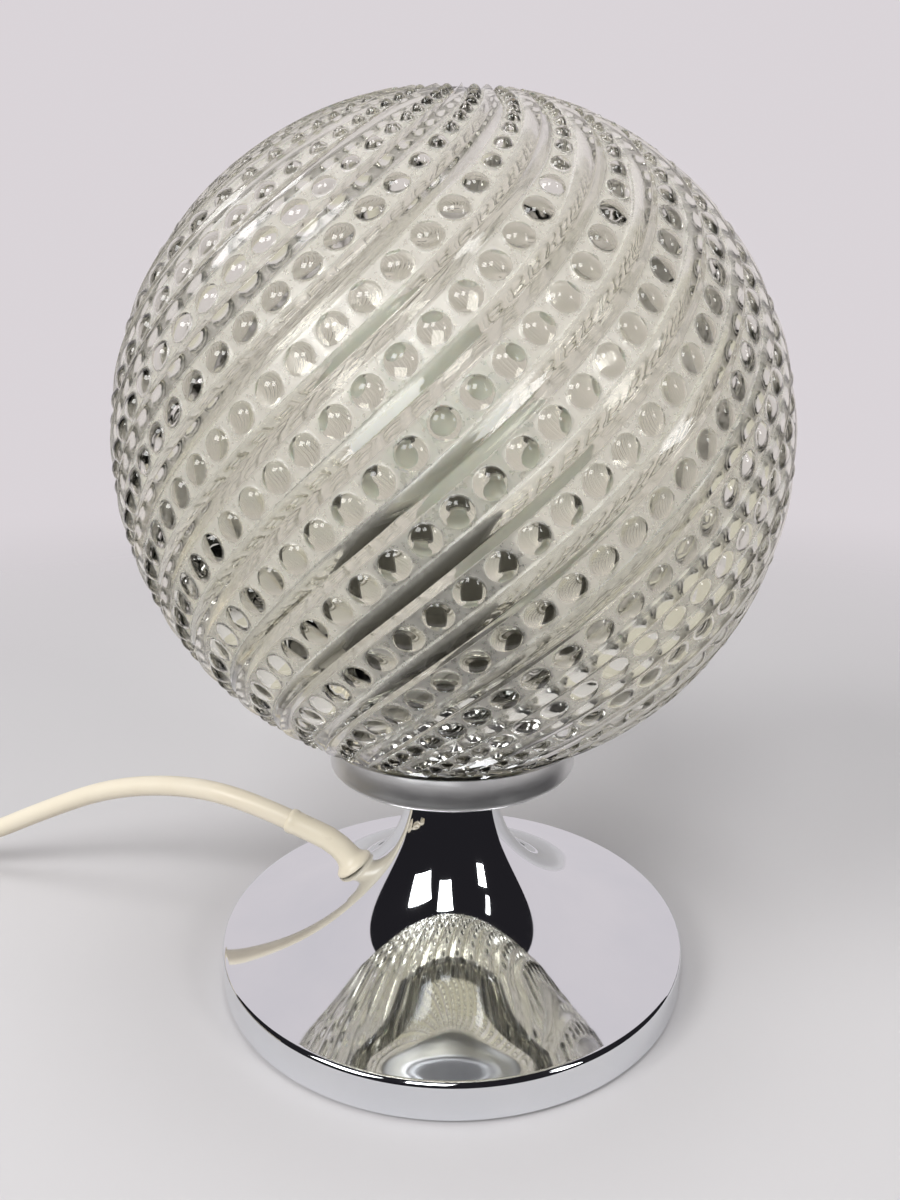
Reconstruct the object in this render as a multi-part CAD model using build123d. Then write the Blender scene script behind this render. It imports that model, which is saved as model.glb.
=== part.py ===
"""Table lamp: a pressed-glass globe on a chrome trumpet pedestal, with its cord, hand switch and plug.

Millimetres, +Z up. The origin is the middle of the felt's underside, on the surface the lamp stands on.
-Y faces the viewer, and the cord leaves towards -X.
"""

import math
import os

from build123d import *

# ---------------------------------------------------------------- driving dimensions
# Pedestal shell: rim, disc, flare and neck in one spun sheet
SHELL_WALL = 1.0
BASE_RADIUS = 64.5
DISC_TOP = 11.0
RIM_EDGE_RADIUS = 1.6
FOOT_SLOPE = 7.8
FOOT_PULL = 41.8
NECK_PULL = 11.6
FLARE_RISE = 40.3
NECK_RADIUS = 12.6
NECK_TOP = 61.5
NECK_EDGE_RADIUS = 1.5
FLARE_STEPS = 12
CRIMP_WIDTH = 2.2

# What closes and loads the base
FELT_THICKNESS = 1.8
FELT_PROUD = 0.8
FELT_GAP = 0.4
BASE_PLATE_THICKNESS = 1.2
BASE_PLATE_GAP = 0.3
WEIGHT_GAP = 0.2
WEIGHT_SIDE_GAP = 1.2
WEIGHT_BORE_RADIUS = 36.0
WEIGHT_CHAMFER = 1.2

# Threaded tube through neck, collar and lampholder, with its nuts and washers
NIPPLE_RADIUS = 5.0
NIPPLE_WALL = 1.1
NIPPLE_BELOW_NUT = 2.5
THREAD_CLEARANCE = 0.05
HOLE_CLEARANCE = 0.2
NUT_ACROSS_FLATS = 14.0
NUT_HEIGHT = 4.0
WASHER_RADIUS = 9.5
WASHER_THICKNESS = 1.0

# Collar and the rubber ring in it
COLLAR_RADIUS = 33.0
COLLAR_HEIGHT = 9.0
COLLAR_WALL = 0.9
COLLAR_EDGE_RADIUS = 0.8
GASKET_THICKNESS = 1.6
GASKET_SIDE_GAP = 0.5

# Glass globe
GLOBE_RADIUS = 81.5
GLOBE_WALL = 5.0
GLOBE_CENTRE_HEIGHT = 145.1
GLOBE_NECK_WALL = 3.4
GLOBE_NECK_CLEARANCE = 0.6
GLOBE_OVER_COLLAR = 0.9
GLOBE_SHOULDER_ANGLE = 60.0
GLOBE_SHOULDER_RADIUS = 36.5
GLOBE_BUTTON_RADIUS = 6.0

# Spiral ribs of the globe, of which one row of lens beads fills each gap
GLOBE_RELIEF = 1.7
RIB_COUNT = 26
RIB_WIDTH_SHARE = 0.5
RIB_ROOT = 0.8
RIB_START_LONGITUDE = -61.99
RIB_WIND = 1.1563
RIB_WIND_RATE = 0.7682
RIB_WIND_MIDDLE = -13.19
RIB_ANGLES = (76, 72, 66, 56, 44, 32, 20, 8, -4, -16, -28, -38, -46, -50)
RIB_END_HEIGHTS = (0.18, 0.6)

# Lampholder
HOLDER_RADIUS = 21.0
HOLDER_WALL = 3.5
HOLDER_BOSS_RADIUS = 9.5
HOLDER_CAP_HEIGHT = 16.6
HOLDER_CAP_RING = 6.0
HOLDER_CAP_RING_WALL = 2.4
HOLDER_FIT = 0.3
INSERT_THICKNESS = 8.0
THREAD_SHELL_RADIUS = 13.5
THREAD_SHELL_WALL = 0.5
THREAD_SHELL_HEIGHT = 21.0
THREAD_SHELL_FLANGE = 16.6
HOLDER_LEDGE = 2.5
HOLDER_LIP = 2.5
TERMINAL_SPACING = 16.0
TERMINAL_SIZE = 6.0
TERMINAL_HEIGHT = 5.5
TERMINAL_SCREW_RADIUS = 1.2
TERMINAL_HEAD_RADIUS = 2.0
TERMINAL_HEAD_HEIGHT = 1.6
CONTACT_STRIP = 0.5
CONTACT_STRIP_WIDTH = 5.0
CONTACT_RISE = 1.4

# Bulb
BULB_RADIUS = 22.5
BULB_LENGTH = 73.0
BULB_GLASS_WALL = 0.9
BULB_CAP_RADIUS = 13.1
BULB_CAP_WALL = 0.6
BULB_CAP_LENGTH = 25.5
BULB_FOOT_RADIUS = 4.6
BULB_FOOT_THICKNESS = 0.8
BULB_INSULATOR_HEIGHT = 4.0
BULB_NECK_RADIUS = 12.2
BULB_STEM_RADIUS = 3.0
BULB_STEM_HEIGHT = 19.0
LEAD_RADIUS = 0.3
LEAD_SPREAD = 8.0
LEAD_RISE = 12.0
FILAMENT_RADIUS = 0.45
FILAMENT_SAG = 3.5
INNER_GAP = 0.1

# Cord, its grommet and the wires inside
CORD_RADIUS = 3.0
CORD_EXIT_INSET = 36.2
CORD_EXIT_ANGLE = 168.0
GROMMET_FLANGE_RADIUS = 6.1
GROMMET_FLANGE = 2.2
GROMMET_LIFT = 0.45
GROMMET_BODY_RADIUS = 4.4
GROMMET_BODY_DEPTH = 5.5
GROMMET_SLEEVE_RADIUS = 3.8
GROMMET_CLEARANCE = 0.1
GROMMET_HOLE_CLEARANCE = 0.2
SLEEVE_BEND_AT = 9.0
SLEEVE_AFTER_BEND = 16.0
SLEEVE_END_RISE = 21.0
LOCK_RING_RADIUS = 7.0
LOCK_RING_THICKNESS = 1.6
LOCK_RING_DEPTH = 1.7
TIE_WIDTH = 3.6
TIE_THICKNESS = 1.3
TIE_HEAD = 5.0
TIE_DEPTH = 7.5
SHEATH_DEPTH = 15.0
WIRE_RADIUS = 1.1
WIRE_SPACING = 3.0
WIRE_CLEARANCE = 0.15

# Coil of the cord that lies put away
COIL_CENTRE = (-264.5, -22.0)
COIL_OUTER_RADIUS = 45.5
COIL_PITCH = 6.6
COIL_TURNS_IN = 3.0
COIL_TURNS_OUT = 2.75
COIL_END_STRAIGHT = 6.0

# Hand switch on the cord
SWITCH_RIGHT_END = -185.0
SWITCH_Y = 43.0
SWITCH_LENGTH = 70.0
SWITCH_WIDTH = 25.0
SWITCH_HEIGHT = 18.0
SWITCH_WALL = 2.0
SWITCH_CORNER = 8.0
SWITCH_EDGE = 1.6
SWITCH_CORD_IN = 5.0
ROCKER_LENGTH = 21.0
ROCKER_WIDTH = 10.2
ROCKER_GAP = 1.1
ROCKER_TILT = 8.0
ROCKER_PROUD = 1.6
ROCKER_THICKNESS = 4.0
ROCKER_STEM = 3.0
PIVOT_RADIUS = 1.5
PIVOT_LENGTH = 1.4
PIVOT_CLEARANCE = 0.05
PIVOT_BELOW_TOP = 3.4
CHEEK_WALL = 1.6
CHEEK_GAP = 0.3
SCREW_OFFSET = (24.0, 8.0)
SCREW_HEAD_RADIUS = 2.6
SCREW_HEAD_HEIGHT = 1.6
SCREW_RECESS = 2.4
SCREW_RADIUS = 1.4
SCREW_LENGTH = 11.0
SCREW_POST_RADIUS = 3.2
CONTACT_LENGTH = 20.0
CONTACT_WIDTH = 4.0
CONTACT_HEIGHT = 4.6
CONTACT_THICKNESS = 0.8
CONTACT_SPACING = 7.0

# Flat two-pin plug
PLUG_REAR = -214.0
PLUG_Y = -66.5
PLUG_LENGTH = 36.0
PLUG_WIDTH = 35.0
PLUG_REAR_WIDTH = 13.0
PLUG_STRAIGHT = 17.0
PLUG_THICKNESS = 13.7
PLUG_EDGE = 2.0
PLUG_CORD_IN = 4.0
PIN_RADIUS = 2.0
PIN_LENGTH = 19.0
PIN_SPACING = 18.6
PIN_ROOT = 8.0
PIN_SLEEVE_LENGTH = 10.0
PIN_SLEEVE_WALL = 0.35

# ---------------------------------------------------------------- places worked out from them
RIM_BOTTOM = FELT_PROUD
FLARE_TOP = DISC_TOP + FLARE_RISE
RIM_EDGE_CENTRE = (BASE_RADIUS - RIM_EDGE_RADIUS, DISC_TOP - RIM_EDGE_RADIUS)
BASE_PLATE_BOTTOM = RIM_BOTTOM + SHELL_WALL
BASE_PLATE_TOP = BASE_PLATE_BOTTOM + BASE_PLATE_THICKNESS
COLLAR_FLOOR_TOP = NECK_TOP + COLLAR_WALL
COLLAR_TOP = NECK_TOP + COLLAR_HEIGHT
GLASS_SEAT = COLLAR_FLOOR_TOP + GASKET_THICKNESS
UPPER_NUT_BOTTOM = COLLAR_FLOOR_TOP + WASHER_THICKNESS
UPPER_NUT_TOP = UPPER_NUT_BOTTOM + NUT_HEIGHT
LOWER_NUT_BOTTOM = NECK_TOP - SHELL_WALL - WASHER_THICKNESS - NUT_HEIGHT
HOLDER_BOTTOM = UPPER_NUT_TOP
HOLDER_BOSS_TOP = HOLDER_BOTTOM + HOLDER_BOSS_RADIUS - 0.5
HOLDER_SHOULDER = HOLDER_BOTTOM + HOLDER_CAP_HEIGHT
INSERT_BOTTOM = HOLDER_SHOULDER + HOLDER_CAP_RING
INSERT_TOP = INSERT_BOTTOM + INSERT_THICKNESS
THREAD_SHELL_TOP = INSERT_TOP + THREAD_SHELL_HEIGHT
HOLDER_TOP = THREAD_SHELL_TOP + HOLDER_FIT + HOLDER_LIP
BULB_BOTTOM = INSERT_TOP + CONTACT_RISE
BULB_TOP = BULB_BOTTOM + BULB_LENGTH
GLOBE_NECK_OUTER = COLLAR_RADIUS - COLLAR_WALL - GLOBE_NECK_CLEARANCE
GLOBE_NECK_INNER = GLOBE_NECK_OUTER - GLOBE_NECK_WALL
GLOBE_SKIN = GLOBE_RADIUS - GLOBE_RELIEF

SWITCH_LEFT_END = SWITCH_RIGHT_END - SWITCH_LENGTH
SWITCH_MIDDLE = (SWITCH_RIGHT_END + SWITCH_LEFT_END) / 2
SWITCH_SPLIT = SWITCH_HEIGHT / 2
PLUG_AXIS_HEIGHT = PLUG_THICKNESS / 2


def polar(radius, angle):
    """The point at this radius and angle in degrees, as a pair."""
    return radius * math.cos(math.radians(angle)), radius * math.sin(math.radians(angle))


def moved(point, distance, angle):
    """The pair that far from a pair, at this angle in degrees."""
    x, y = polar(distance, angle)
    return point[0] + x, point[1] + y


# The flare is one cubic curve of (radius, height), upright at the neck and sloping gently at the rim
FLARE_FOOT = moved(RIM_EDGE_CENTRE, RIM_EDGE_RADIUS, 90 - FOOT_SLOPE)
FLARE_POLES = (
    (NECK_RADIUS, FLARE_TOP),
    (NECK_RADIUS, FLARE_TOP - NECK_PULL),
    moved(FLARE_FOOT, FOOT_PULL, 180 - FOOT_SLOPE),
    FLARE_FOOT,
)


def flare_at(share):
    """Radius, height and slope in degrees, this share of the way from the neck to the rim."""
    rest = 1 - share
    weights = (rest**3, 3 * rest**2 * share, 3 * rest * share**2, share**3)
    ways = (-(rest**2), rest**2 - 2 * rest * share, 2 * rest * share - share**2, share**2)
    radius, height = (sum(w * pole[axis] for w, pole in zip(weights, FLARE_POLES)) for axis in (0, 1))
    out, down = (sum(w * pole[axis] for w, pole in zip(ways, FLARE_POLES)) for axis in (0, 1))
    return radius, height, math.degrees(math.atan2(-down, out))


def flare_point(radius):
    """Height and slope, in degrees, of the flare's top surface at this radius."""
    low, high = 0.0, 1.0
    for _ in range(40):
        middle = (low + high) / 2
        low, high = (middle, high) if flare_at(middle)[0] < radius else (low, middle)
    return flare_at(low)[1:]


CORD_EXIT_RADIUS = BASE_RADIUS - CORD_EXIT_INSET
EXIT_HEIGHT, EXIT_SLOPE = flare_point(CORD_EXIT_RADIUS)
EXIT_POINT = Vector(*polar(CORD_EXIT_RADIUS, CORD_EXIT_ANGLE), EXIT_HEIGHT)
EXIT_OUTWARD = Vector(*polar(1, CORD_EXIT_ANGLE), 0)
EXIT_SIDE = Vector(*polar(1, CORD_EXIT_ANGLE + 90), 0)
EXIT_NORMAL = (
    EXIT_OUTWARD * math.sin(math.radians(EXIT_SLOPE)) + Vector(0, 0, 1) * math.cos(math.radians(EXIT_SLOPE))
)
SLEEVE_BEND = EXIT_POINT + EXIT_NORMAL * SLEEVE_BEND_AT
SLEEVE_RISE = math.radians(SLEEVE_END_RISE)
SLEEVE_DIRECTION = EXIT_OUTWARD * math.cos(SLEEVE_RISE) + Vector(0, 0, 1) * math.sin(SLEEVE_RISE)
SLEEVE_END = SLEEVE_BEND + SLEEVE_DIRECTION * SLEEVE_AFTER_BEND
COIL_START = Vector(COIL_CENTRE[0] - COIL_OUTER_RADIUS, COIL_CENTRE[1] + COIL_END_STRAIGHT, CORD_RADIUS)

# Routes of the free cord, each from one piece to the next
LEAD_ROUTE = [
    SLEEVE_END,
    SLEEVE_END + SLEEVE_DIRECTION * 15.0,
    Vector(-83.0, 23.0, 41.3),
    Vector(-107.0, 30.5, 36.2),
    Vector(-131.0, 37.0, 25.0),
    Vector(-152.0, 41.0, 14.5),
    Vector(-172.0, SWITCH_Y, SWITCH_SPLIT),
    Vector(SWITCH_RIGHT_END - SWITCH_CORD_IN, SWITCH_Y, SWITCH_SPLIT),
]
LINK_ROUTE = [
    Vector(SWITCH_LEFT_END + SWITCH_CORD_IN, SWITCH_Y, SWITCH_SPLIT),
    Vector(-266.0, SWITCH_Y, SWITCH_SPLIT),
    Vector(-281.5, 38.5, 8.0),
    Vector(-295.0, 29.0, 6.0),
    Vector(-304.5, 15.5, 4.0),
    Vector(COIL_START.X, 0.5, CORD_RADIUS),
    COIL_START,
]


# ---------------------------------------------------------------- helpers
def turned(*outline):
    """A solid turned about the Z axis from a closed outline of (radius, height) points and edges."""
    edges = []
    for step, piece in enumerate(outline):
        if isinstance(piece, tuple):
            following = outline[(step + 1) % len(outline)]
            if isinstance(following, tuple) and following != piece:
                edges.append(Line(piece, following))
        else:
            edges.append(piece)
    return revolve(Plane.XZ * make_face(edges), Axis.Z)


def ring(inner, outer, bottom, top):
    """A plain ring about the Z axis."""
    return turned((inner, bottom), (outer, bottom), (outer, top), (inner, top))


def corner_radii(points):
    """The arc radius at each corner of a route: 0.45 of its shorter run over the tangent of half the turn."""
    radii = []
    for before, corner, after in zip(points, points[1:], points[2:]):
        first, second = corner - before, after - corner
        half_turn = math.radians(first.get_angle(second) / 2)
        radii.append(0.45 * min(first.length, second.length) / math.tan(half_turn))
    return radii


def tube(points, radius, name=None):
    """A round tube along straight runs joined by tangent arcs."""
    radii = corner_radii(points)
    path = FilletPolyline(*points, radius=radii)
    start = Plane(origin=points[0], z_dir=points[1] - points[0])
    solid = sweep(start * Circle(radius), path=path)
    if name:
        ratio = solid.volume / (math.pi * radius**2 * path.length)
        shown = [round(corner, 1) for corner in radii]
        print(f"{name}: length {path.length:.1f}, radii {shown}, volume ratio {ratio:.4f}")
    return solid


def rod(start, end, radius):
    """A round bar between two points."""
    along = end - start
    return extrude(Plane(origin=start, z_dir=along) * Circle(radius), along.length)


def hex_nut(bottom):
    """Hexagon nut about the Z axis."""
    hexagon = RegularPolygon(NUT_ACROSS_FLATS / 2, 6, major_radius=False)
    blank = extrude(Pos(0, 0, bottom) * hexagon, NUT_HEIGHT)
    bore = Cylinder(NIPPLE_RADIUS + THREAD_CLEARANCE, NUT_HEIGHT * 2)
    return blank - Pos(0, 0, bottom + NUT_HEIGHT / 2) * bore


# ---------------------------------------------------------------- base and pedestal
def pedestal():
    """Spun chrome shell: rim crimped inwards at the bottom, disc, flare, and a neck closed at its top."""
    within = []
    for step in range(FLARE_STEPS + 1):
        radius, height, slope = flare_at(step / FLARE_STEPS)
        within.append(moved((radius, height), -SHELL_WALL, 90 - slope))
    outer_flare = Bezier(*FLARE_POLES)
    inner_flare = Spline(*within, tangents=[(0, -1), polar(1, -FOOT_SLOPE)])
    rim_round = CenterArc(RIM_EDGE_CENTRE, RIM_EDGE_RADIUS, 0, 90 - FOOT_SLOPE)
    neck_edge = (NECK_RADIUS - NECK_EDGE_RADIUS, NECK_TOP - NECK_EDGE_RADIUS)
    neck_round = CenterArc(neck_edge, NECK_EDGE_RADIUS, 0, 90)
    bore = NIPPLE_RADIUS + HOLE_CLEARANCE
    inside = BASE_RADIUS - SHELL_WALL
    lip_top = RIM_BOTTOM + SHELL_WALL
    shell = turned(
        (BASE_RADIUS, RIM_BOTTOM),
        (BASE_RADIUS, DISC_TOP - RIM_EDGE_RADIUS),
        rim_round,
        outer_flare,
        (NECK_RADIUS, FLARE_TOP),
        (NECK_RADIUS, NECK_TOP - NECK_EDGE_RADIUS),
        neck_round,
        (NECK_RADIUS - NECK_EDGE_RADIUS, NECK_TOP),
        (bore, NECK_TOP),
        (bore, NECK_TOP - SHELL_WALL),
        (NECK_RADIUS - SHELL_WALL, NECK_TOP - SHELL_WALL),
        (NECK_RADIUS - SHELL_WALL, FLARE_TOP),
        inner_flare,
        within[-1],
        (inside, within[-1][1]),
        (inside, lip_top),
        (BASE_RADIUS - CRIMP_WIDTH, lip_top),
        (BASE_RADIUS - CRIMP_WIDTH, RIM_BOTTOM),
    )
    hole = rod(
        EXIT_POINT - EXIT_NORMAL * GROMMET_BODY_DEPTH,
        EXIT_POINT + EXIT_NORMAL * GROMMET_BODY_DEPTH,
        GROMMET_BODY_RADIUS + GROMMET_HOLE_CLEARANCE,
    )
    return shell - hole


def base_weight():
    """Cast ring that lies on the base plate under the disc."""
    outer = BASE_RADIUS - SHELL_WALL - WEIGHT_SIDE_GAP
    top = DISC_TOP - SHELL_WALL - WEIGHT_GAP
    return turned(
        (WEIGHT_BORE_RADIUS, BASE_PLATE_TOP),
        (outer, BASE_PLATE_TOP),
        (outer, top - WEIGHT_CHAMFER),
        (outer - WEIGHT_CHAMFER, top),
        (WEIGHT_BORE_RADIUS, top),
    )


def base_plate():
    radius = BASE_RADIUS - SHELL_WALL - BASE_PLATE_GAP
    return Pos(0, 0, BASE_PLATE_BOTTOM) * extrude(Circle(radius), BASE_PLATE_THICKNESS)


def felt_pad():
    radius = BASE_RADIUS - CRIMP_WIDTH - FELT_GAP
    return extrude(Circle(radius), FELT_THICKNESS)


# ---------------------------------------------------------------- tube, nuts, washers and collar
def nipple():
    bottom = LOWER_NUT_BOTTOM - NIPPLE_BELOW_NUT
    return ring(NIPPLE_RADIUS - NIPPLE_WALL, NIPPLE_RADIUS, bottom, HOLDER_BOSS_TOP - HOLDER_FIT)


def washer(bottom):
    return ring(NIPPLE_RADIUS + HOLE_CLEARANCE, WASHER_RADIUS, bottom, bottom + WASHER_THICKNESS)


def collar():
    """Aluminium cup that the glass neck stands in."""
    bottom_edge = (COLLAR_RADIUS - COLLAR_EDGE_RADIUS, NECK_TOP + COLLAR_EDGE_RADIUS)
    bottom_round = CenterArc(bottom_edge, COLLAR_EDGE_RADIUS, 270, 90)
    bore = NIPPLE_RADIUS + HOLE_CLEARANCE
    return turned(
        (bore, NECK_TOP),
        (COLLAR_RADIUS - COLLAR_EDGE_RADIUS, NECK_TOP),
        bottom_round,
        (COLLAR_RADIUS, NECK_TOP + COLLAR_EDGE_RADIUS),
        (COLLAR_RADIUS, COLLAR_TOP),
        (COLLAR_RADIUS - COLLAR_WALL, COLLAR_TOP),
        (COLLAR_RADIUS - COLLAR_WALL, COLLAR_FLOOR_TOP),
        (bore, COLLAR_FLOOR_TOP),
    )


def neck_gasket():
    outer = COLLAR_RADIUS - COLLAR_WALL - GASKET_SIDE_GAP
    return ring(GLOBE_NECK_INNER - GASKET_SIDE_GAP, outer, COLLAR_FLOOR_TOP, GLASS_SEAT)


# ---------------------------------------------------------------- glass globe
def rib_section(latitude, height):
    """Roof-shaped section of a rib, square to its run and sunk a little into the glass.

    The ribs wind: their longitude grows with the sine of the latitude's distance from RIB_WIND_MIDDLE.
    """
    swing = math.radians(RIB_WIND_RATE * (latitude - RIB_WIND_MIDDLE))
    longitude = RIB_START_LONGITUDE + math.degrees(RIB_WIND / RIB_WIND_RATE * math.sin(swing))
    slope = math.cos(math.radians(latitude)) * RIB_WIND * math.cos(swing)
    pitch = math.tau * GLOBE_SKIN * math.cos(math.radians(latitude)) / RIB_COUNT / math.hypot(1, slope)

    across, along = polar(1, longitude)
    level, rise = polar(1, latitude)
    outward = Vector(level * along, -level * across, rise)
    east = Vector(across, along, 0)
    run = outward.cross(east) + east * slope
    side = run.cross(outward).normalized()

    half_foot = RIB_WIDTH_SHARE * pitch / 2
    half_root = min(half_foot * (height + RIB_ROOT) / height, 0.4 * pitch)
    middle = Vector(0, 0, GLOBE_CENTRE_HEIGHT)
    ridge = middle + outward * (GLOBE_SKIN + height)
    root = middle + outward * (GLOBE_SKIN - RIB_ROOT)
    return Face(Wire.make_polygon([ridge, root + side * half_root, root - side * half_root], close=True))


def globe_rib():
    heights = [GLOBE_RELIEF] * len(RIB_ANGLES)
    for place, share in enumerate(RIB_END_HEIGHTS):
        heights[place] = heights[-1 - place] = GLOBE_RELIEF * share
    return loft([rib_section(latitude, height) for latitude, height in zip(RIB_ANGLES, heights)])


def globe():
    """Hollow ribbed glass ball on a straight neck, with a flat shoulder just above the collar's edge."""
    inner_radius = GLOBE_RADIUS - GLOBE_WALL
    shoulder_r, shoulder_z = polar(GLOBE_SKIN, -GLOBE_SHOULDER_ANGLE)
    shoulder = (shoulder_r, GLOBE_CENTRE_HEIGHT + shoulder_z)
    underside = COLLAR_TOP + GLOBE_OVER_COLLAR
    inner_angle = math.degrees(math.acos(GLOBE_NECK_INNER / inner_radius))
    inner_drop = polar(inner_radius, -inner_angle)[1]
    button_angle = math.degrees(math.acos(GLOBE_BUTTON_RADIUS / GLOBE_SKIN))
    button_foot = GLOBE_CENTRE_HEIGHT + polar(GLOBE_SKIN, button_angle)[1]
    button_top = GLOBE_CENTRE_HEIGHT + GLOBE_RADIUS
    outer = CenterArc((0, GLOBE_CENTRE_HEIGHT), GLOBE_SKIN, button_angle, -(button_angle + GLOBE_SHOULDER_ANGLE))
    inner = CenterArc((0, GLOBE_CENTRE_HEIGHT), inner_radius, -inner_angle, 90 + inner_angle)
    ball = turned(
        (0, button_top),
        (GLOBE_BUTTON_RADIUS - GLOBE_RELIEF / 2, button_top),
        (GLOBE_BUTTON_RADIUS, button_foot),
        outer,
        shoulder,
        (GLOBE_SHOULDER_RADIUS, underside),
        (GLOBE_NECK_OUTER, underside),
        (GLOBE_NECK_OUTER, GLASS_SEAT),
        (GLOBE_NECK_INNER, GLASS_SEAT),
        (GLOBE_NECK_INNER, GLOBE_CENTRE_HEIGHT + inner_drop),
        inner,
        (0, GLOBE_CENTRE_HEIGHT + inner_radius),
        (0, button_top),
    )
    rib = globe_rib()
    return ball + [Rot(0, 0, 360 / RIB_COUNT * place) * rib for place in range(RIB_COUNT)]


# ---------------------------------------------------------------- lampholder
def holder_cap():
    """Lower half of the lampholder, screwed on the threaded tube."""
    inner = HOLDER_RADIUS - HOLDER_WALL - HOLDER_FIT
    bore = NIPPLE_RADIUS + THREAD_CLEARANCE
    return turned(
        (bore, HOLDER_BOTTOM),
        (HOLDER_BOSS_RADIUS, HOLDER_BOTTOM),
        (HOLDER_RADIUS - HOLDER_WALL, HOLDER_BOTTOM + 4.0),
        (HOLDER_RADIUS, HOLDER_BOTTOM + 11.0),
        (HOLDER_RADIUS, HOLDER_SHOULDER),
        (inner, HOLDER_SHOULDER),
        (inner, INSERT_BOTTOM),
        (inner - HOLDER_CAP_RING_WALL, INSERT_BOTTOM),
        (inner - HOLDER_CAP_RING_WALL, HOLDER_BOSS_TOP + 4.0),
        (HOLDER_BOSS_RADIUS, HOLDER_BOSS_TOP),
        (bore, HOLDER_BOSS_TOP),
    )


def holder_sleeve():
    """Upper half: screws over the cap's ring, clamps insert and shell with its ledge, and ends in a lip."""
    inner = HOLDER_RADIUS - HOLDER_WALL
    ledge = THREAD_SHELL_RADIUS + THREAD_SHELL_WALL + HOLDER_FIT
    ledge_bottom = INSERT_TOP + THREAD_SHELL_WALL
    lip_bottom = HOLDER_TOP - HOLDER_LIP
    return turned(
        (inner, HOLDER_SHOULDER),
        (HOLDER_RADIUS, HOLDER_SHOULDER),
        (HOLDER_RADIUS, HOLDER_TOP - 1.5),
        (HOLDER_RADIUS - 1.5, HOLDER_TOP),
        (ledge, HOLDER_TOP),
        (ledge, lip_bottom),
        (inner, lip_bottom),
        (inner, ledge_bottom + HOLDER_LEDGE),
        (ledge, ledge_bottom + HOLDER_LEDGE),
        (ledge, ledge_bottom),
        (inner, ledge_bottom),
    )


def holder_insert():
    """Ceramic disc that carries shell, centre contact and terminals."""
    radius = HOLDER_RADIUS - HOLDER_WALL - 2 * HOLDER_FIT
    return Pos(0, 0, INSERT_BOTTOM) * extrude(Circle(radius), INSERT_THICKNESS)


def holder_thread():
    """Threaded metal shell that takes the bulb's cap, with the flange it is clamped by."""
    outer = THREAD_SHELL_RADIUS + THREAD_SHELL_WALL
    flange_top = INSERT_TOP + THREAD_SHELL_WALL
    return turned(
        (THREAD_SHELL_RADIUS, INSERT_TOP),
        (THREAD_SHELL_FLANGE, INSERT_TOP),
        (THREAD_SHELL_FLANGE, flange_top),
        (outer, flange_top),
        (outer, THREAD_SHELL_TOP),
        (THREAD_SHELL_RADIUS, THREAD_SHELL_TOP),
    )


def centre_contact():
    """Bent brass strip on the insert, touching the bulb's foot."""
    top = INSERT_TOP + CONTACT_RISE
    outline = Polyline(
        (-10.0, INSERT_TOP),
        (-10.0, INSERT_TOP + CONTACT_STRIP),
        (-5.0, INSERT_TOP + CONTACT_STRIP),
        (-2.0, top),
        (2.0, top),
        (2.0, top - CONTACT_STRIP),
        (-1.6, top - CONTACT_STRIP),
        (-4.8, INSERT_TOP),
        close=True,
    )
    return extrude(Plane.XZ * make_face(outline), CONTACT_STRIP_WIDTH / 2, both=True)


def terminal_places():
    """The middle of each terminal, and the outward direction there."""
    height = INSERT_BOTTOM - TERMINAL_HEIGHT / 2
    for sign in (1, -1):
        yield EXIT_SIDE * (sign * TERMINAL_SPACING / 2) + Vector(0, 0, height), EXIT_SIDE * sign


def terminals():
    blocks = []
    for middle, outward in terminal_places():
        frame = Plane(origin=middle, x_dir=outward, z_dir=(0, 0, 1))
        block = frame * Box(TERMINAL_SIZE, TERMINAL_SIZE, TERMINAL_HEIGHT)
        below = middle - Vector(0, 0, TERMINAL_HEIGHT)
        block -= rod(below, middle + Vector(0, 0, 1.0), WIRE_RADIUS + WIRE_CLEARANCE)
        block -= rod(middle, middle + outward * TERMINAL_SIZE, TERMINAL_SCREW_RADIUS + THREAD_CLEARANCE)
        blocks.append(block)
    return Compound(children=blocks)


def terminal_screws():
    screws = []
    for middle, outward in terminal_places():
        tip = middle + outward * (WIRE_RADIUS + WIRE_CLEARANCE)
        seat = middle + outward * (TERMINAL_SIZE / 2)
        shank = rod(tip, seat, TERMINAL_SCREW_RADIUS)
        screws.append(shank + rod(seat, seat + outward * TERMINAL_HEAD_HEIGHT, TERMINAL_HEAD_RADIUS))
    return Compound(children=screws)


# ---------------------------------------------------------------- bulb
def bulb_glass():
    """Frosted envelope: a ball on a neck that stands in the screw cap."""
    centre = BULB_TOP - BULB_RADIUS
    cap_top = BULB_BOTTOM + BULB_CAP_LENGTH
    foot = cap_top - 7.0
    meet = 50.0
    inside = BULB_RADIUS - BULB_GLASS_WALL
    outer_meet = polar(BULB_RADIUS, -meet)
    inner_meet = polar(inside, -meet)
    inner_neck = BULB_NECK_RADIUS - BULB_GLASS_WALL
    return turned(
        (BULB_NECK_RADIUS, foot),
        (BULB_NECK_RADIUS, cap_top + 1.5),
        (outer_meet[0], centre + outer_meet[1]),
        CenterArc((0, centre), BULB_RADIUS, -meet, 90 + meet),
        (0, centre + BULB_RADIUS),
        (0, centre + inside),
        CenterArc((0, centre), inside, 90, -(90 + meet)),
        (inner_meet[0], centre + inner_meet[1]),
        (inner_neck, cap_top + 1.5),
        (inner_neck, foot),
    )


def bulb_cap():
    bottom = BULB_BOTTOM + BULB_INSULATOR_HEIGHT
    return ring(BULB_CAP_RADIUS - BULB_CAP_WALL, BULB_CAP_RADIUS, bottom, BULB_BOTTOM + BULB_CAP_LENGTH)


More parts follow.
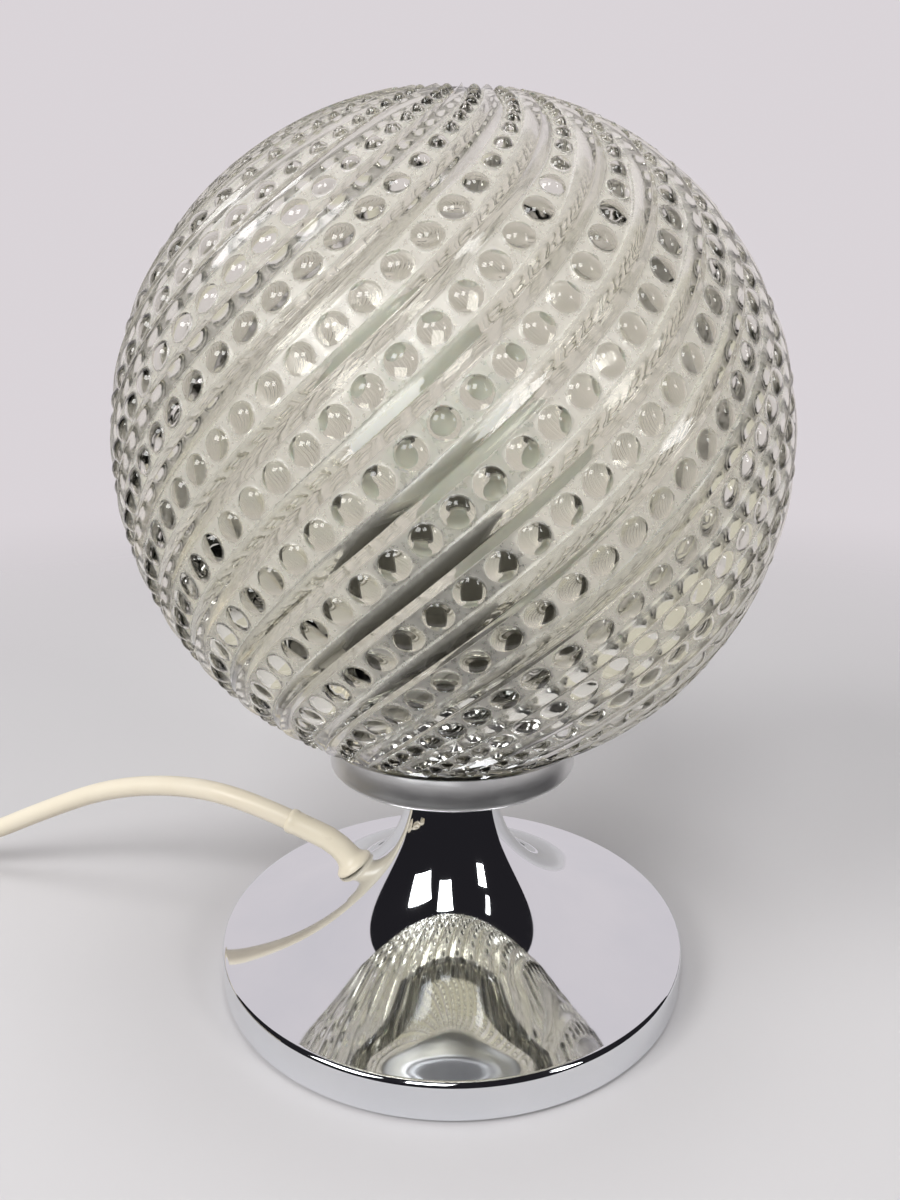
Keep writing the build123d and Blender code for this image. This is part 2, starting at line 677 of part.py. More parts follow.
def bulb_insulator():
    """Black glass cone between screw cap and foot contact."""
    bottom = BULB_BOTTOM + BULB_FOOT_THICKNESS
    top = BULB_BOTTOM + BULB_INSULATOR_HEIGHT
    return turned(
        (0, bottom),
        (BULB_FOOT_RADIUS + 0.6, bottom),
        (BULB_CAP_RADIUS - 1.5, top - 1.0),
        (BULB_CAP_RADIUS - 0.1, top),
        (BULB_CAP_RADIUS - BULB_CAP_WALL - INNER_GAP, top),
        (BULB_CAP_RADIUS - BULB_CAP_WALL - INNER_GAP, top + 0.8),
        (0, top + 0.8),
    )


def bulb_foot():
    return Pos(0, 0, BULB_BOTTOM) * extrude(Circle(BULB_FOOT_RADIUS), BULB_FOOT_THICKNESS)


def bulb_stem_top():
    return BULB_BOTTOM + BULB_CAP_LENGTH - 6.0 + BULB_STEM_HEIGHT


def bulb_stem():
    """Glass stem that closes the envelope's neck and carries the lead wires."""
    bottom = BULB_BOTTOM + BULB_CAP_LENGTH - 6.0
    flange = BULB_NECK_RADIUS - BULB_GLASS_WALL - INNER_GAP
    return turned(
        (0, bottom),
        (flange, bottom),
        (flange, bottom + 0.8),
        (BULB_STEM_RADIUS + 1.0, bottom + 3.5),
        (BULB_STEM_RADIUS, bulb_stem_top() - 0.5),
        (BULB_STEM_RADIUS - 0.5, bulb_stem_top()),
        (0, bulb_stem_top()),
    )


def bulb_leads():
    wires = []
    for sign in (1, -1):
        foot = Vector(sign * 1.6, 0, bulb_stem_top())
        knee = foot + Vector(0, 0, 2.0)
        tip = Vector(sign * LEAD_SPREAD, 0, bulb_stem_top() + LEAD_RISE)
        wires.append(tube([foot, knee, tip], LEAD_RADIUS))
    return Compound(children=wires)


def bulb_filament():
    height = bulb_stem_top() + LEAD_RISE + LEAD_RADIUS + FILAMENT_RADIUS
    path = ThreePointArc((-LEAD_SPREAD, 0, height), (0, 0, height + FILAMENT_SAG), (LEAD_SPREAD, 0, height))
    return sweep(Plane(origin=path @ 0, z_dir=path % 0) * Circle(FILAMENT_RADIUS), path=path)


# ---------------------------------------------------------------- grommet and cord inside the base
def at_exit(depth):
    """The point this far along the exit's normal, outwards when positive."""
    return EXIT_POINT + EXIT_NORMAL * depth


def cord_grommet():
    """Flange on the flare, body through the sheet, and a bent sleeve that guides the cord."""
    flange = rod(at_exit(GROMMET_LIFT), at_exit(GROMMET_LIFT + GROMMET_FLANGE), GROMMET_FLANGE_RADIUS)
    flange = fillet(flange.edges().filter_by(GeomType.CIRCLE), 0.7)
    body = rod(at_exit(-GROMMET_BODY_DEPTH), at_exit(GROMMET_LIFT + 1.0), GROMMET_BODY_RADIUS)
    sleeve = tube([at_exit(GROMMET_LIFT + 1.0), SLEEVE_BEND, SLEEVE_END], GROMMET_SLEEVE_RADIUS)
    bore = tube(
        [at_exit(-GROMMET_BODY_DEPTH - 1.0), SLEEVE_BEND, SLEEVE_END + SLEEVE_DIRECTION],
        CORD_RADIUS + GROMMET_CLEARANCE,
    )
    return flange + body + sleeve - bore


def grommet_lock():
    """Ring that holds the grommet's body from inside."""
    outer = rod(at_exit(-LOCK_RING_DEPTH - LOCK_RING_THICKNESS), at_exit(-LOCK_RING_DEPTH), LOCK_RING_RADIUS)
    hole = rod(at_exit(-GROMMET_BODY_DEPTH), at_exit(0), GROMMET_BODY_RADIUS + THREAD_CLEARANCE)
    return outer - hole


def cord_tie():
    """Band and head of the tie that keeps the cord from being pulled out."""
    top, bottom = at_exit(-TIE_DEPTH), at_exit(-TIE_DEPTH - TIE_WIDTH)
    band = rod(bottom, top, CORD_RADIUS + TIE_THICKNESS)
    middle = (top + bottom) / 2 - EXIT_SIDE * (CORD_RADIUS + TIE_HEAD / 2)
    head = Plane(origin=middle, x_dir=EXIT_SIDE, z_dir=EXIT_NORMAL) * Box(TIE_HEAD, TIE_HEAD, TIE_WIDTH)
    hole = rod(at_exit(-TIE_DEPTH - 2 * TIE_WIDTH), at_exit(0), CORD_RADIUS + THREAD_CLEARANCE)
    return band + head - hole


def inner_cord():
    """The sheathed cord from the sleeve's mouth to where it is stripped, inside the base."""
    return tube([at_exit(-SHEATH_DEPTH), SLEEVE_BEND, SLEEVE_END], CORD_RADIUS)


def inner_wire(sign):
    """One insulated wire from the stripped end, along the base plate, up the neck and to its terminal."""
    side = EXIT_SIDE * (sign * WIRE_SPACING / 2)
    start = at_exit(-SHEATH_DEPTH) + side
    low = at_exit(-SHEATH_DEPTH - 5.5) + side
    under_neck = EXIT_OUTWARD * 3.5 + Vector(0, 0, BASE_PLATE_TOP + 2.5) + side
    in_neck = Vector(0, 0, BASE_PLATE_TOP + 19.0) + side
    above_nipple = Vector(0, 0, HOLDER_BOSS_TOP + 0.5) + side
    at_terminal = EXIT_SIDE * (sign * TERMINAL_SPACING / 2)
    block_bottom = INSERT_BOTTOM - TERMINAL_HEIGHT
    below_terminal = at_terminal + Vector(0, 0, block_bottom - 3.0)
    end = at_terminal + Vector(0, 0, INSERT_BOTTOM - TERMINAL_HEIGHT / 2)
    return tube([start, low, under_neck, in_neck, above_nipple, below_terminal, end], WIRE_RADIUS)


# ---------------------------------------------------------------- coil
def coil_point(turn):
    """Centreline point after this many turns: in along one layer, up in half a turn, out along the next."""
    slope = COIL_PITCH
    inner = COIL_OUTER_RADIUS - COIL_TURNS_IN * COIL_PITCH
    low, high = CORD_RADIUS, CORD_RADIUS + COIL_PITCH
    past = turn - COIL_TURNS_IN
    if past <= 0:
        radius, height = COIL_OUTER_RADIUS - slope * turn, low
    elif past < 0.5:
        radius = inner - slope * past + 2 * slope * past * past
        height = low + (high - low) * (1 - math.cos(2 * math.pi * past)) / 2
    else:
        radius, height = inner + slope * (past - 0.5), high
    x, y = polar(radius, 180 + 360 * turn)
    return Vector(COIL_CENTRE[0] + x, COIL_CENTRE[1] + y, height)


def coil_direction(turn):
    step = 1e-4
    return (coil_point(turn + step) - coil_point(turn - step)).normalized()


def biarc(start, start_way, end, end_way):
    """Two tangent arcs from one point and direction to another."""
    across, ways = end - start, start_way + end_way
    spread = 2 * (1 - start_way.dot(end_way))
    reach = (math.sqrt(across.dot(ways) ** 2 + spread * across.dot(across)) - across.dot(ways)) / spread
    joint = (start + end + (start_way - end_way) * reach) / 2
    joint_way = (end - end_way * reach) - (start + start_way * reach)
    return [
        Edge.make_tangent_arc(start, start_way, joint),
        Edge.make_tangent_arc(joint, joint_way.normalized(), end),
    ]


def coil_path():
    """Quarter-turn biarcs with a straight end at each side."""
    quarters = round(4 * (COIL_TURNS_IN + 0.5 + COIL_TURNS_OUT))
    points = [coil_point(quarter / 4) for quarter in range(quarters + 1)]
    ways = [coil_direction(quarter / 4) for quarter in range(quarters + 1)]
    ways[0] = Vector(0, -1, 0)
    ways[-1] = Vector(ways[-1].X, ways[-1].Y, 0).normalized()
    edges = [Edge.make_line(COIL_START, points[0])]
    for start, end, start_way, end_way in zip(points, points[1:], ways, ways[1:]):
        edges += biarc(start, start_way, end, end_way)
    finish = points[-1] + ways[-1] * COIL_END_STRAIGHT
    edges.append(Edge.make_line(points[-1], finish))
    return Wire(edges), finish, ways[-1]


def coil_gap(path):
    """The least gap between the tube and itself, measured on points along it."""
    count = 1200
    step = path.length / count
    points = [path @ (index / count) for index in range(count + 1)]
    apart = math.ceil(4 * CORD_RADIUS * math.pi / step)
    gap = math.inf
    for index, point in enumerate(points):
        for other in points[index + apart :]:
            gap = min(gap, (point - other).length)
    return gap - 2 * CORD_RADIUS


COIL_PATH, COIL_END, COIL_END_WAY = coil_path()
TAIL_ROUTE = [
    COIL_END,
    COIL_END + COIL_END_WAY * 13.0,
    Vector(PLUG_REAR - 14.0, PLUG_Y, PLUG_AXIS_HEIGHT),
    Vector(PLUG_REAR + PLUG_CORD_IN, PLUG_Y, PLUG_AXIS_HEIGHT),
]


def cord_coil():
    start = Plane(origin=COIL_START, z_dir=(0, -1, 0))
    solid = sweep(start * Circle(CORD_RADIUS), path=COIL_PATH)
    ratio = solid.volume / (math.pi * CORD_RADIUS**2 * COIL_PATH.length)
    gap = coil_gap(COIL_PATH)
    print(f"coil: length {COIL_PATH.length:.1f}, least gap to itself {gap:.2f}, volume ratio {ratio:.4f}")
    return solid


# ---------------------------------------------------------------- hand switch
def switch_half(bottom, height, outer_face):
    """One half of the housing as a hollow tray, open at the split; outer_face says where its floor is."""
    middle = Pos(SWITCH_MIDDLE, SWITCH_Y, bottom)
    block = extrude(middle * RectangleRounded(SWITCH_LENGTH, SWITCH_WIDTH, SWITCH_CORNER), height)
    floor_edges = block.edges().group_by(Axis.Z)[outer_face]
    block = fillet(floor_edges, SWITCH_EDGE)
    hollow = RectangleRounded(
        SWITCH_LENGTH - 2 * SWITCH_WALL, SWITCH_WIDTH - 2 * SWITCH_WALL, SWITCH_CORNER - SWITCH_WALL
    )
    hollow_bottom = bottom + SWITCH_WALL if outer_face == 0 else bottom
    cavity = extrude(Pos(SWITCH_MIDDLE, SWITCH_Y, hollow_bottom) * hollow, height - SWITCH_WALL)
    return block - cavity


def switch_cord_bore():
    start = Vector(SWITCH_LEFT_END - 1.0, SWITCH_Y, SWITCH_SPLIT)
    return rod(start, Vector(SWITCH_RIGHT_END + 1.0, SWITCH_Y, SWITCH_SPLIT), CORD_RADIUS + GROMMET_CLEARANCE)


def screw_places():
    for sign in (1, -1):
        yield SWITCH_MIDDLE + sign * SCREW_OFFSET[0], SWITCH_Y + sign * SCREW_OFFSET[1]


def post(x, y, bottom, top):
    return rod(Vector(x, y, bottom), Vector(x, y, top), SCREW_POST_RADIUS)


def switch_base():
    half = switch_half(0.0, SWITCH_SPLIT, 0)
    for x, y in screw_places():
        half += post(x, y, 1.0, SWITCH_SPLIT)
    half -= switch_cord_bore()
    for x, y in screw_places():
        half -= rod(Vector(x, y, -1.0), Vector(x, y, SCREW_RECESS), SCREW_HEAD_RADIUS + HOLE_CLEARANCE)
        half -= rod(Vector(x, y, 0.0), Vector(x, y, SWITCH_SPLIT + 1.0), SCREW_RADIUS + HOLE_CLEARANCE)
    return half


def switch_cover():
    half = switch_half(SWITCH_SPLIT, SWITCH_HEIGHT - SWITCH_SPLIT, -1)
    for x, y in screw_places():
        half += post(x, y, SWITCH_SPLIT, SWITCH_HEIGHT - 1.0)
    window = Box(ROCKER_LENGTH + 2 * ROCKER_GAP, ROCKER_WIDTH + 2 * CHEEK_GAP, 2 * SWITCH_HEIGHT)
    cheek_at = ROCKER_WIDTH / 2 + CHEEK_GAP + CHEEK_WALL / 2
    pivot_height = SWITCH_HEIGHT - PIVOT_BELOW_TOP
    cheek_height = PIVOT_BELOW_TOP + 3.0
    for sign in (1, -1):
        at = Pos(SWITCH_MIDDLE, SWITCH_Y + sign * cheek_at, SWITCH_HEIGHT - 0.5 - cheek_height / 2)
        half += at * Box(4 * PIVOT_RADIUS, CHEEK_WALL, cheek_height)
    half -= switch_cord_bore()
    half -= Pos(SWITCH_MIDDLE, SWITCH_Y, SWITCH_HEIGHT + SWITCH_HEIGHT - SWITCH_WALL) * window
    side = Vector(0, cheek_at + CHEEK_WALL, 0)
    pivot = Vector(SWITCH_MIDDLE, SWITCH_Y, pivot_height)
    half -= rod(pivot - side, pivot + side, PIVOT_RADIUS + PIVOT_CLEARANCE)
    for x, y in screw_places():
        hole_top = Vector(x, y, SCREW_RECESS + SCREW_LENGTH + 0.5)
        half -= rod(Vector(x, y, SWITCH_SPLIT - 1.0), hole_top, SCREW_RADIUS + THREAD_CLEARANCE)
    return half


def switch_rocker():
    """Rocker with a shallow V on top, a stem below and a pivot stub at each side, tipped to its off side."""
    top = PIVOT_BELOW_TOP + ROCKER_PROUD
    half_length = ROCKER_LENGTH / 2
    outline = Polyline(
        (-half_length, top),
        (0, top - 1.0),
        (half_length, top),
        (half_length, top - ROCKER_THICKNESS),
        (2.0, top - ROCKER_THICKNESS - 1.6),
        (1.4, -PIVOT_RADIUS - ROCKER_STEM),
        (-1.4, -PIVOT_RADIUS - ROCKER_STEM),
        (-2.0, top - ROCKER_THICKNESS - 1.6),
        (-half_length, top - ROCKER_THICKNESS),
        close=True,
    )
    body = extrude(Plane.XZ * make_face(outline), ROCKER_WIDTH / 2, both=True)
    reach = Vector(0, ROCKER_WIDTH / 2 + CHEEK_GAP + PIVOT_LENGTH, 0)
    body += rod(-reach, reach, PIVOT_RADIUS)
    place = Pos(SWITCH_MIDDLE, SWITCH_Y, SWITCH_HEIGHT - PIVOT_BELOW_TOP)
    return place * Rot(0, -ROCKER_TILT, 0) * body


def switch_screws():
    screws = []
    for x, y in screw_places():
        seat = Vector(x, y, SCREW_RECESS)
        head = rod(seat - Vector(0, 0, SCREW_HEAD_HEIGHT), seat, SCREW_HEAD_RADIUS)
        screws.append(head + rod(seat, seat + Vector(0, 0, SCREW_LENGTH), SCREW_RADIUS))
    return Compound(children=screws)


def switch_contacts():
    """Two brass strips on the housing's floor, each with an upright that the rocker's stem closes."""
    strips = []
    for sign in (1, -1):
        x = SWITCH_MIDDLE + sign * (CONTACT_LENGTH / 2 - 5.0)
        y = SWITCH_Y - sign * CONTACT_SPACING
        strip = Box(CONTACT_LENGTH, CONTACT_WIDTH, CONTACT_THICKNESS)
        upright = Box(CONTACT_THICKNESS, CONTACT_WIDTH, CONTACT_HEIGHT)
        foot = Pos(x, y, SWITCH_WALL + CONTACT_THICKNESS / 2) * strip
        strips.append(foot + Pos(x - sign * 4.0, y, SWITCH_WALL + CONTACT_HEIGHT / 2) * upright)
    return Compound(children=strips)


# ---------------------------------------------------------------- plug
def plug_body():
    """Flat moulded body that narrows to the cord."""
    front = PLUG_REAR + PLUG_LENGTH
    straight = front - PLUG_STRAIGHT
    half, rear_half = PLUG_WIDTH / 2, PLUG_REAR_WIDTH / 2
    outline = Polyline(
        (PLUG_REAR, -rear_half),
        (straight, -half),
        (front, -half),
        (front, half),
        (straight, half),
        (PLUG_REAR, rear_half),
        close=True,
    )
    body = extrude(Pos(0, PLUG_Y, 0) * make_face(outline), PLUG_THICKNESS)
    body = fillet(body.edges().filter_by(Axis.Z), PLUG_EDGE)
    flats = body.faces().sort_by(Axis.Z)
    body = fillet(flats[0].edges() + flats[-1].edges(), PLUG_EDGE / 2)
    entry = Vector(PLUG_REAR - 1.0, PLUG_Y, PLUG_AXIS_HEIGHT)
    body -= rod(entry, entry + Vector(1.0 + PLUG_CORD_IN, 0, 0), CORD_RADIUS + GROMMET_CLEARANCE)
    for sign in (1, -1):
        root = Vector(front - PIN_ROOT, PLUG_Y + sign * PIN_SPACING / 2, PLUG_AXIS_HEIGHT)
        body -= rod(root, root + Vector(PIN_ROOT + 1.0, 0, 0), PIN_RADIUS + THREAD_CLEARANCE)
    return body


def pin_place(sign):
    return Vector(PLUG_REAR + PLUG_LENGTH, PLUG_Y + sign * PIN_SPACING / 2, PLUG_AXIS_HEIGHT)


def plug_pins():
    """Two round pins, necked where the insulating sleeves sit, with rounded tips."""
    pins = []
    for sign in (1, -1):
        face = pin_place(sign)
        root = face - Vector(PIN_ROOT, 0, 0)
        sleeve_end = face + Vector(PIN_SLEEVE_LENGTH, 0, 0)
        tip = rod(sleeve_end, face + Vector(PIN_LENGTH, 0, 0), PIN_RADIUS)
        tip = fillet(tip.edges().filter_by(GeomType.CIRCLE).sort_by(Axis.X)[-1], 1.2)
        shank = rod(face, sleeve_end, PIN_RADIUS - PIN_SLEEVE_WALL)
        pins.append(tip + shank + rod(root, face, PIN_RADIUS))
    return Compound(children=pins)


def plug_pin_sleeves():
    sleeves = []
    for sign in (1, -1):
        face = pin_place(sign)
        end = face + Vector(PIN_SLEEVE_LENGTH, 0, 0)
        outer = rod(face, end, PIN_RADIUS - THREAD_CLEARANCE)
        sleeves.append(outer - rod(face, end, PIN_RADIUS - PIN_SLEEVE_WALL + THREAD_CLEARANCE))
    return Compound(children=sleeves)


# ---------------------------------------------------------------- all nodes
NODES = {
    "pedestal": pedestal(),
    "base_weight": base_weight(),
    "base_plate": base_plate(),
    "felt_pad": felt_pad(),
    "threaded_nipple": nipple(),
    "lower_nut": hex_nut(LOWER_NUT_BOTTOM),
    "lower_washer": washer(LOWER_NUT_BOTTOM + NUT_HEIGHT),
    "upper_nut": hex_nut(UPPER_NUT_BOTTOM),
    "upper_washer": washer(COLLAR_FLOOR_TOP),
    "collar": collar(),
    "neck_gasket": neck_gasket(),
    "globe": globe(),
    "holder_cap": holder_cap(),
    "holder_sleeve": holder_sleeve(),
    "holder_insert": holder_insert(),
    "holder_thread": holder_thread(),
    "centre_contact": centre_contact(),
    "terminals": terminals(),
    "terminal_screws": terminal_screws(),
    "bulb_glass": bulb_glass(),
    "bulb_cap": bulb_cap(),
    "bulb_insulator": bulb_insulator(),
    "bulb_foot": bulb_foot(),
    "bulb_stem": bulb_stem(),
    "bulb_leads": bulb_leads(),
    "bulb_filament": bulb_filament(),
    "cord_grommet": cord_grommet(),
    "grommet_lock": grommet_lock(),
    "cord_tie": cord_tie(),
    "inner_cord": inner_cord(),
    "wire_live": inner_wire(1),
    "wire_neutral": inner_wire(-1),
    "cord_lead": tube(LEAD_ROUTE, CORD_RADIUS, "lead"),
    "cord_link": tube(LINK_ROUTE, CORD_RADIUS, "link"),
    "cord_coil": cord_coil(),
    "cord_tail": tube(TAIL_ROUTE, CORD_RADIUS, "tail"),
    "switch_base": switch_base(),
    "switch_cover": switch_cover(),
    "switch_rocker": switch_rocker(),
    "switch_contacts": switch_contacts(),
    "switch_screws": switch_screws(),
    "plug_body": plug_body(),
    "plug_pins": plug_pins(),
    "plug_pin_sleeves": plug_pin_sleeves(),
}

os.makedirs("parts", exist_ok=True)
for name, solid in NODES.items():
    export_step(solid, f"parts/{name}.step")
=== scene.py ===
import math

import bpy
import numpy as np
from mathutils import Matrix, Vector


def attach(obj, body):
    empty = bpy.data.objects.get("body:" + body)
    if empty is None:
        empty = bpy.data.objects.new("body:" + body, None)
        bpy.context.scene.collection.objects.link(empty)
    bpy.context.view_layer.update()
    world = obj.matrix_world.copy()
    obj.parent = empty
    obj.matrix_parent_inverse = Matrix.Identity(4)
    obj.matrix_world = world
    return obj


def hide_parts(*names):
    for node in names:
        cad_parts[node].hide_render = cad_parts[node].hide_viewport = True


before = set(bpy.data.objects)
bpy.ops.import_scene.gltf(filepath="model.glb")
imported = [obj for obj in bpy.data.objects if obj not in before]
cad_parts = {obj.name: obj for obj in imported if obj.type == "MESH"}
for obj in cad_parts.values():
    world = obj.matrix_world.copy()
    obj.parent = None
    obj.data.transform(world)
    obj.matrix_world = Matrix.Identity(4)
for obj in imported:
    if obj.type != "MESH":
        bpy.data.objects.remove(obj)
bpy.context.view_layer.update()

MM = 0.001


# ---------------------------------------------------------------- camera
CAMERA_PLACE = (0, -0.2456, 0.1745)
CAMERA_SENSOR = 36.0
CAMERA_LENS = 29.25
CAMERA_NEAREST = 0.01
CAMERA_DOWN = 15.63  # degrees
CAMERA_HEADING = 0.0029  # radians
CAMERA_ROLL = 0.0024  # radians


def add_camera():
    """The photograph's viewpoint: close, a little above the globe's middle, looking down."""
    data = bpy.data.cameras.new("camera")
    data.sensor_fit = "VERTICAL"
    data.sensor_height = CAMERA_SENSOR
    data.lens = CAMERA_LENS
    data.clip_start = CAMERA_NEAREST
    camera = bpy.data.objects.new("camera", data)
    tilt = Matrix.Rotation(math.radians(90 - CAMERA_DOWN), 4, "X")
    turn = Matrix.Rotation(CAMERA_HEADING, 4, "Z") @ tilt
    camera.matrix_world = Matrix.Translation(CAMERA_PLACE) @ turn @ Matrix.Rotation(CAMERA_ROLL, 4, "Z")
    bpy.context.scene.collection.objects.link(camera)
    bpy.context.scene.camera = camera


# ---------------------------------------------------------------- materials
class Nodes:
    """A material's node tree with short calls for the nodes used here."""

    def __init__(self, name):
        self.material = bpy.data.materials.new(name)
        self.material.use_nodes = True
        self.tree = self.material.node_tree
        self.tree.nodes.clear()
        output = self.tree.nodes.new("ShaderNodeOutputMaterial")
        self.shader = self.tree.nodes.new("ShaderNodeBsdfPrincipled")
        self.tree.links.new(self.shader.outputs[0], output.inputs["Surface"])
        self.place = self.tree.nodes.new("ShaderNodeTexCoord").outputs["Object"]

    def set(self, **sockets):
        """Set or link the shader's sockets; an underscore in a name stands for a space."""
        for name, value in sockets.items():
            socket = self.shader.inputs[name.replace("_", " ")]
            if isinstance(value, bpy.types.NodeSocket):
                self.tree.links.new(value, socket)
            else:
                socket.default_value = value
        return self

    def noise(self, scale, detail, stretch=(1, 1, 1), roughness=0.5):
        """Noise over the object's own coordinates; scale counts waves per metre."""
        mapping = self.tree.nodes.new("ShaderNodeMapping")
        mapping.inputs["Scale"].default_value = stretch
        self.tree.links.new(self.place, mapping.inputs["Vector"])
        node = self.tree.nodes.new("ShaderNodeTexNoise")
        node.inputs["Scale"].default_value = scale
        node.inputs["Detail"].default_value = detail
        node.inputs["Roughness"].default_value = roughness
        self.tree.links.new(mapping.outputs[0], node.inputs["Vector"])
        return node.outputs["Fac"]

    def ramp(self, factor, first, last, ends=(0.0, 1.0)):
        """One value or colour up to the first end of the factor, another from its last end on."""
        node = self.tree.nodes.new("ShaderNodeValToRGB")
        for element, position, value in zip(node.color_ramp.elements, ends, (first, last)):
            colour = value if isinstance(value, tuple) else (value, value, value)
            element.position = position
            element.color = (*colour, 1.0)
        self.tree.links.new(factor, node.inputs[0])
        return node.outputs[0]

    def mottle(self, scale, detail, first, last, ends=(0.3, 0.7), stretch=(1, 1, 1)):
        """Two values or colours in patches."""
        return self.ramp(self.noise(scale, detail, stretch), first, last, ends)

    def attribute(self, name):
        node = self.tree.nodes.new("ShaderNodeAttribute")
        node.attribute_name = name
        return node.outputs["Fac"]

    def multiply(self, first, second):
        node = self.tree.nodes.new("ShaderNodeMath")
        node.operation = "MULTIPLY"
        self.tree.links.new(first, node.inputs[0])
        self.tree.links.new(second, node.inputs[1])
        return node.outputs[0]

    def bump(self, height, strength, distance):
        node = self.tree.nodes.new("ShaderNodeBump")
        node.inputs["Strength"].default_value = strength
        node.inputs["Distance"].default_value = distance
        self.tree.links.new(height, node.inputs["Height"])
        self.tree.links.new(node.outputs[0], self.shader.inputs["Normal"])
        return self


def chrome():
    """Bright chrome with faint wiping marks."""
    m = Nodes("chrome")
    m.set(Base_Color=m.mottle(38, 4, (0.80, 0.82, 0.85), (0.86, 0.87, 0.89), stretch=(1, 1, 0.4)))
    m.set(Roughness=m.mottle(90, 5, 0.025, 0.06, (0.35, 0.75)), Metallic=1.0)
    return m.bump(m.noise(25, 2), 0.05, 0.0004).material


def spun_aluminium():
    """Satin aluminium with turning marks round the axis and dull patches."""
    m = Nodes("spun_aluminium")
    m.set(Base_Color=m.mottle(70, 4, (0.78, 0.78, 0.78), (0.88, 0.88, 0.87)))
    m.set(Roughness=m.mottle(160, 5, 0.38, 0.52, (0.3, 0.8)), Metallic=1.0)
    return m.bump(m.noise(60, 3, (1, 1, 60)), 0.10, 0.0002).material


def plated_steel():
    m = Nodes("plated_steel")
    m.set(Base_Color=m.mottle(300, 4, (0.50, 0.50, 0.49), (0.64, 0.64, 0.62)))
    return m.set(Roughness=m.mottle(500, 4, 0.25, 0.42), Metallic=1.0).material


def cast_iron():
    m = Nodes("cast_iron")
    m.set(Base_Color=m.mottle(180, 6, (0.05, 0.05, 0.052), (0.12, 0.115, 0.11)))
    m.set(Roughness=0.65, Metallic=0.6)
    return m.bump(m.noise(700, 5), 0.5, 0.0004).material


def brass():
    m = Nodes("brass")
    m.set(Base_Color=m.mottle(260, 4, (0.58, 0.42, 0.18), (0.78, 0.60, 0.30)))
    return m.set(Roughness=m.mottle(420, 4, 0.2, 0.38), Metallic=1.0).material


def felt():
    m = Nodes("felt")
    fibres = m.noise(1500, 8, roughness=0.7)
    m.set(Base_Color=m.ramp(fibres, (0.025, 0.026, 0.03), (0.085, 0.086, 0.095), (0.3, 0.75)))
    m.set(Roughness=0.95, Sheen_Weight=0.3)
    return m.bump(fibres, 0.7, 0.0005).material


def rubber():
    m = Nodes("rubber")
    m.set(Base_Color=m.mottle(220, 4, (0.60, 0.58, 0.52), (0.70, 0.68, 0.61)), Roughness=0.6)
    return m.bump(m.noise(900, 3), 0.2, 0.0002).material


def plastic(name, dark, light, roughness, grain=0.1):
    """Moulded plastic with a slight unevenness in colour and a fine skin."""
    m = Nodes(name)
    m.set(Base_Color=m.mottle(45, 4, dark, light))
    m.set(Roughness=m.mottle(260, 4, roughness * 0.8, roughness * 1.2))
    return m.bump(m.noise(1100, 3), grain, 0.0002).material


def globe_glass():
    """Pressed glass, a trace warm: clear on the beads and crests, frosted where the mould was rough."""
    m = Nodes("globe_glass")
    frost = m.multiply(m.attribute("frost"), m.mottle(900, 4, 0.45, 1.0, (0.25, 0.75)))
    m.set(Base_Color=m.ramp(frost, (0.96, 0.95, 0.875), (0.965, 0.94, 0.855)))
    m.set(Roughness=m.ramp(frost, 0.015, 0.42), IOR=1.5)
    m.set(Transmission_Weight=m.ramp(frost, 1.0, 0.62))
    return m.bump(m.noise(120, 3), 0.15, 0.0004).material


def frosted_glass():
    m = Nodes("frosted_glass")
    m.set(Base_Color=m.mottle(60, 3, (0.90, 0.89, 0.86), (0.95, 0.94, 0.92)))
    m.set(Roughness=0.45, IOR=1.45, Transmission_Weight=0.3, Subsurface_Weight=0.2)
    return m.bump(m.noise(1300, 2), 0.1, 0.0001).material


def clear_glass():
    m = Nodes("clear_glass")
    m.set(Base_Color=m.mottle(40, 2, (0.93, 0.95, 0.94), (0.96, 0.97, 0.96)))
    return m.set(Roughness=0.03, IOR=1.5, Transmission_Weight=1.0).material


# ---------------------------------------------------------------- mesh helpers
# Every shape below that goes through add_mesh is in millimetres
def add_mesh(name, points, faces, material, body, sharp=None):
    """A smooth-shaded mesh piece; edges that turn by more than sharp degrees stay sharp."""
    mesh = bpy.data.meshes.new(name)
    mesh.from_pydata(np.asarray(points) * MM, [], faces)
    mesh.validate()
    mesh.shade_smooth()
    if sharp:
        mesh.set_sharp_from_angle(angle=math.radians(sharp))
    mesh.materials.append(material)
    piece = bpy.data.objects.new(name, mesh)
    bpy.context.scene.collection.objects.link(piece)
    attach(piece, body)
    return piece


def arc(centre, radius, start, end, steps):
    """Points (across, up) of an arc, its angles in degrees."""
    angles = np.radians(np.linspace(start, end, steps + 1))
    return [(centre[0] + radius * math.cos(a), centre[1] + radius * math.sin(a)) for a in angles]


def grid_faces(rows, columns, row_count):
    """Quads of a grid that wraps round its columns, and round its rows where rows == row_count."""
    row = np.arange(rows)[:, None]
    column = np.arange(columns)[None, :]
    following, beside = (row + 1) % row_count, (column + 1) % columns
    corners = (row, column), (row, beside), (following, beside), (following, column)
    quads = [np.broadcast_to(r * columns + c, (rows, columns)) for r, c in corners]
    return np.stack(quads, -1).reshape(-1, 4).tolist()


def lathe(profile, segments):
    """Points and quads of a closed profile of (radius, height) turned about Z."""
    profile = np.array(profile, float)
    angles = np.arange(segments) * 2 * math.pi / segments
    points = np.empty((len(profile), segments, 3))
    points[:, :, 0] = profile[:, :1] * np.cos(angles)
    points[:, :, 1] = profile[:, :1] * np.sin(angles)
    points[:, :, 2] = profile[:, 1:]
    return points.reshape(-1, 3), grid_faces(len(profile), segments, len(profile))


# ---------------------------------------------------------------- glass globe
# Spheres; beads and ribs stand on the skin
CREST_RADIUS = 81.5
SKIN_RADIUS = 79.8
INNER_RADIUS = 76.5
GLOBE_CENTRE = 145.1
BEAD_HEIGHT = 1.55
RIB_HEIGHT = 1.5

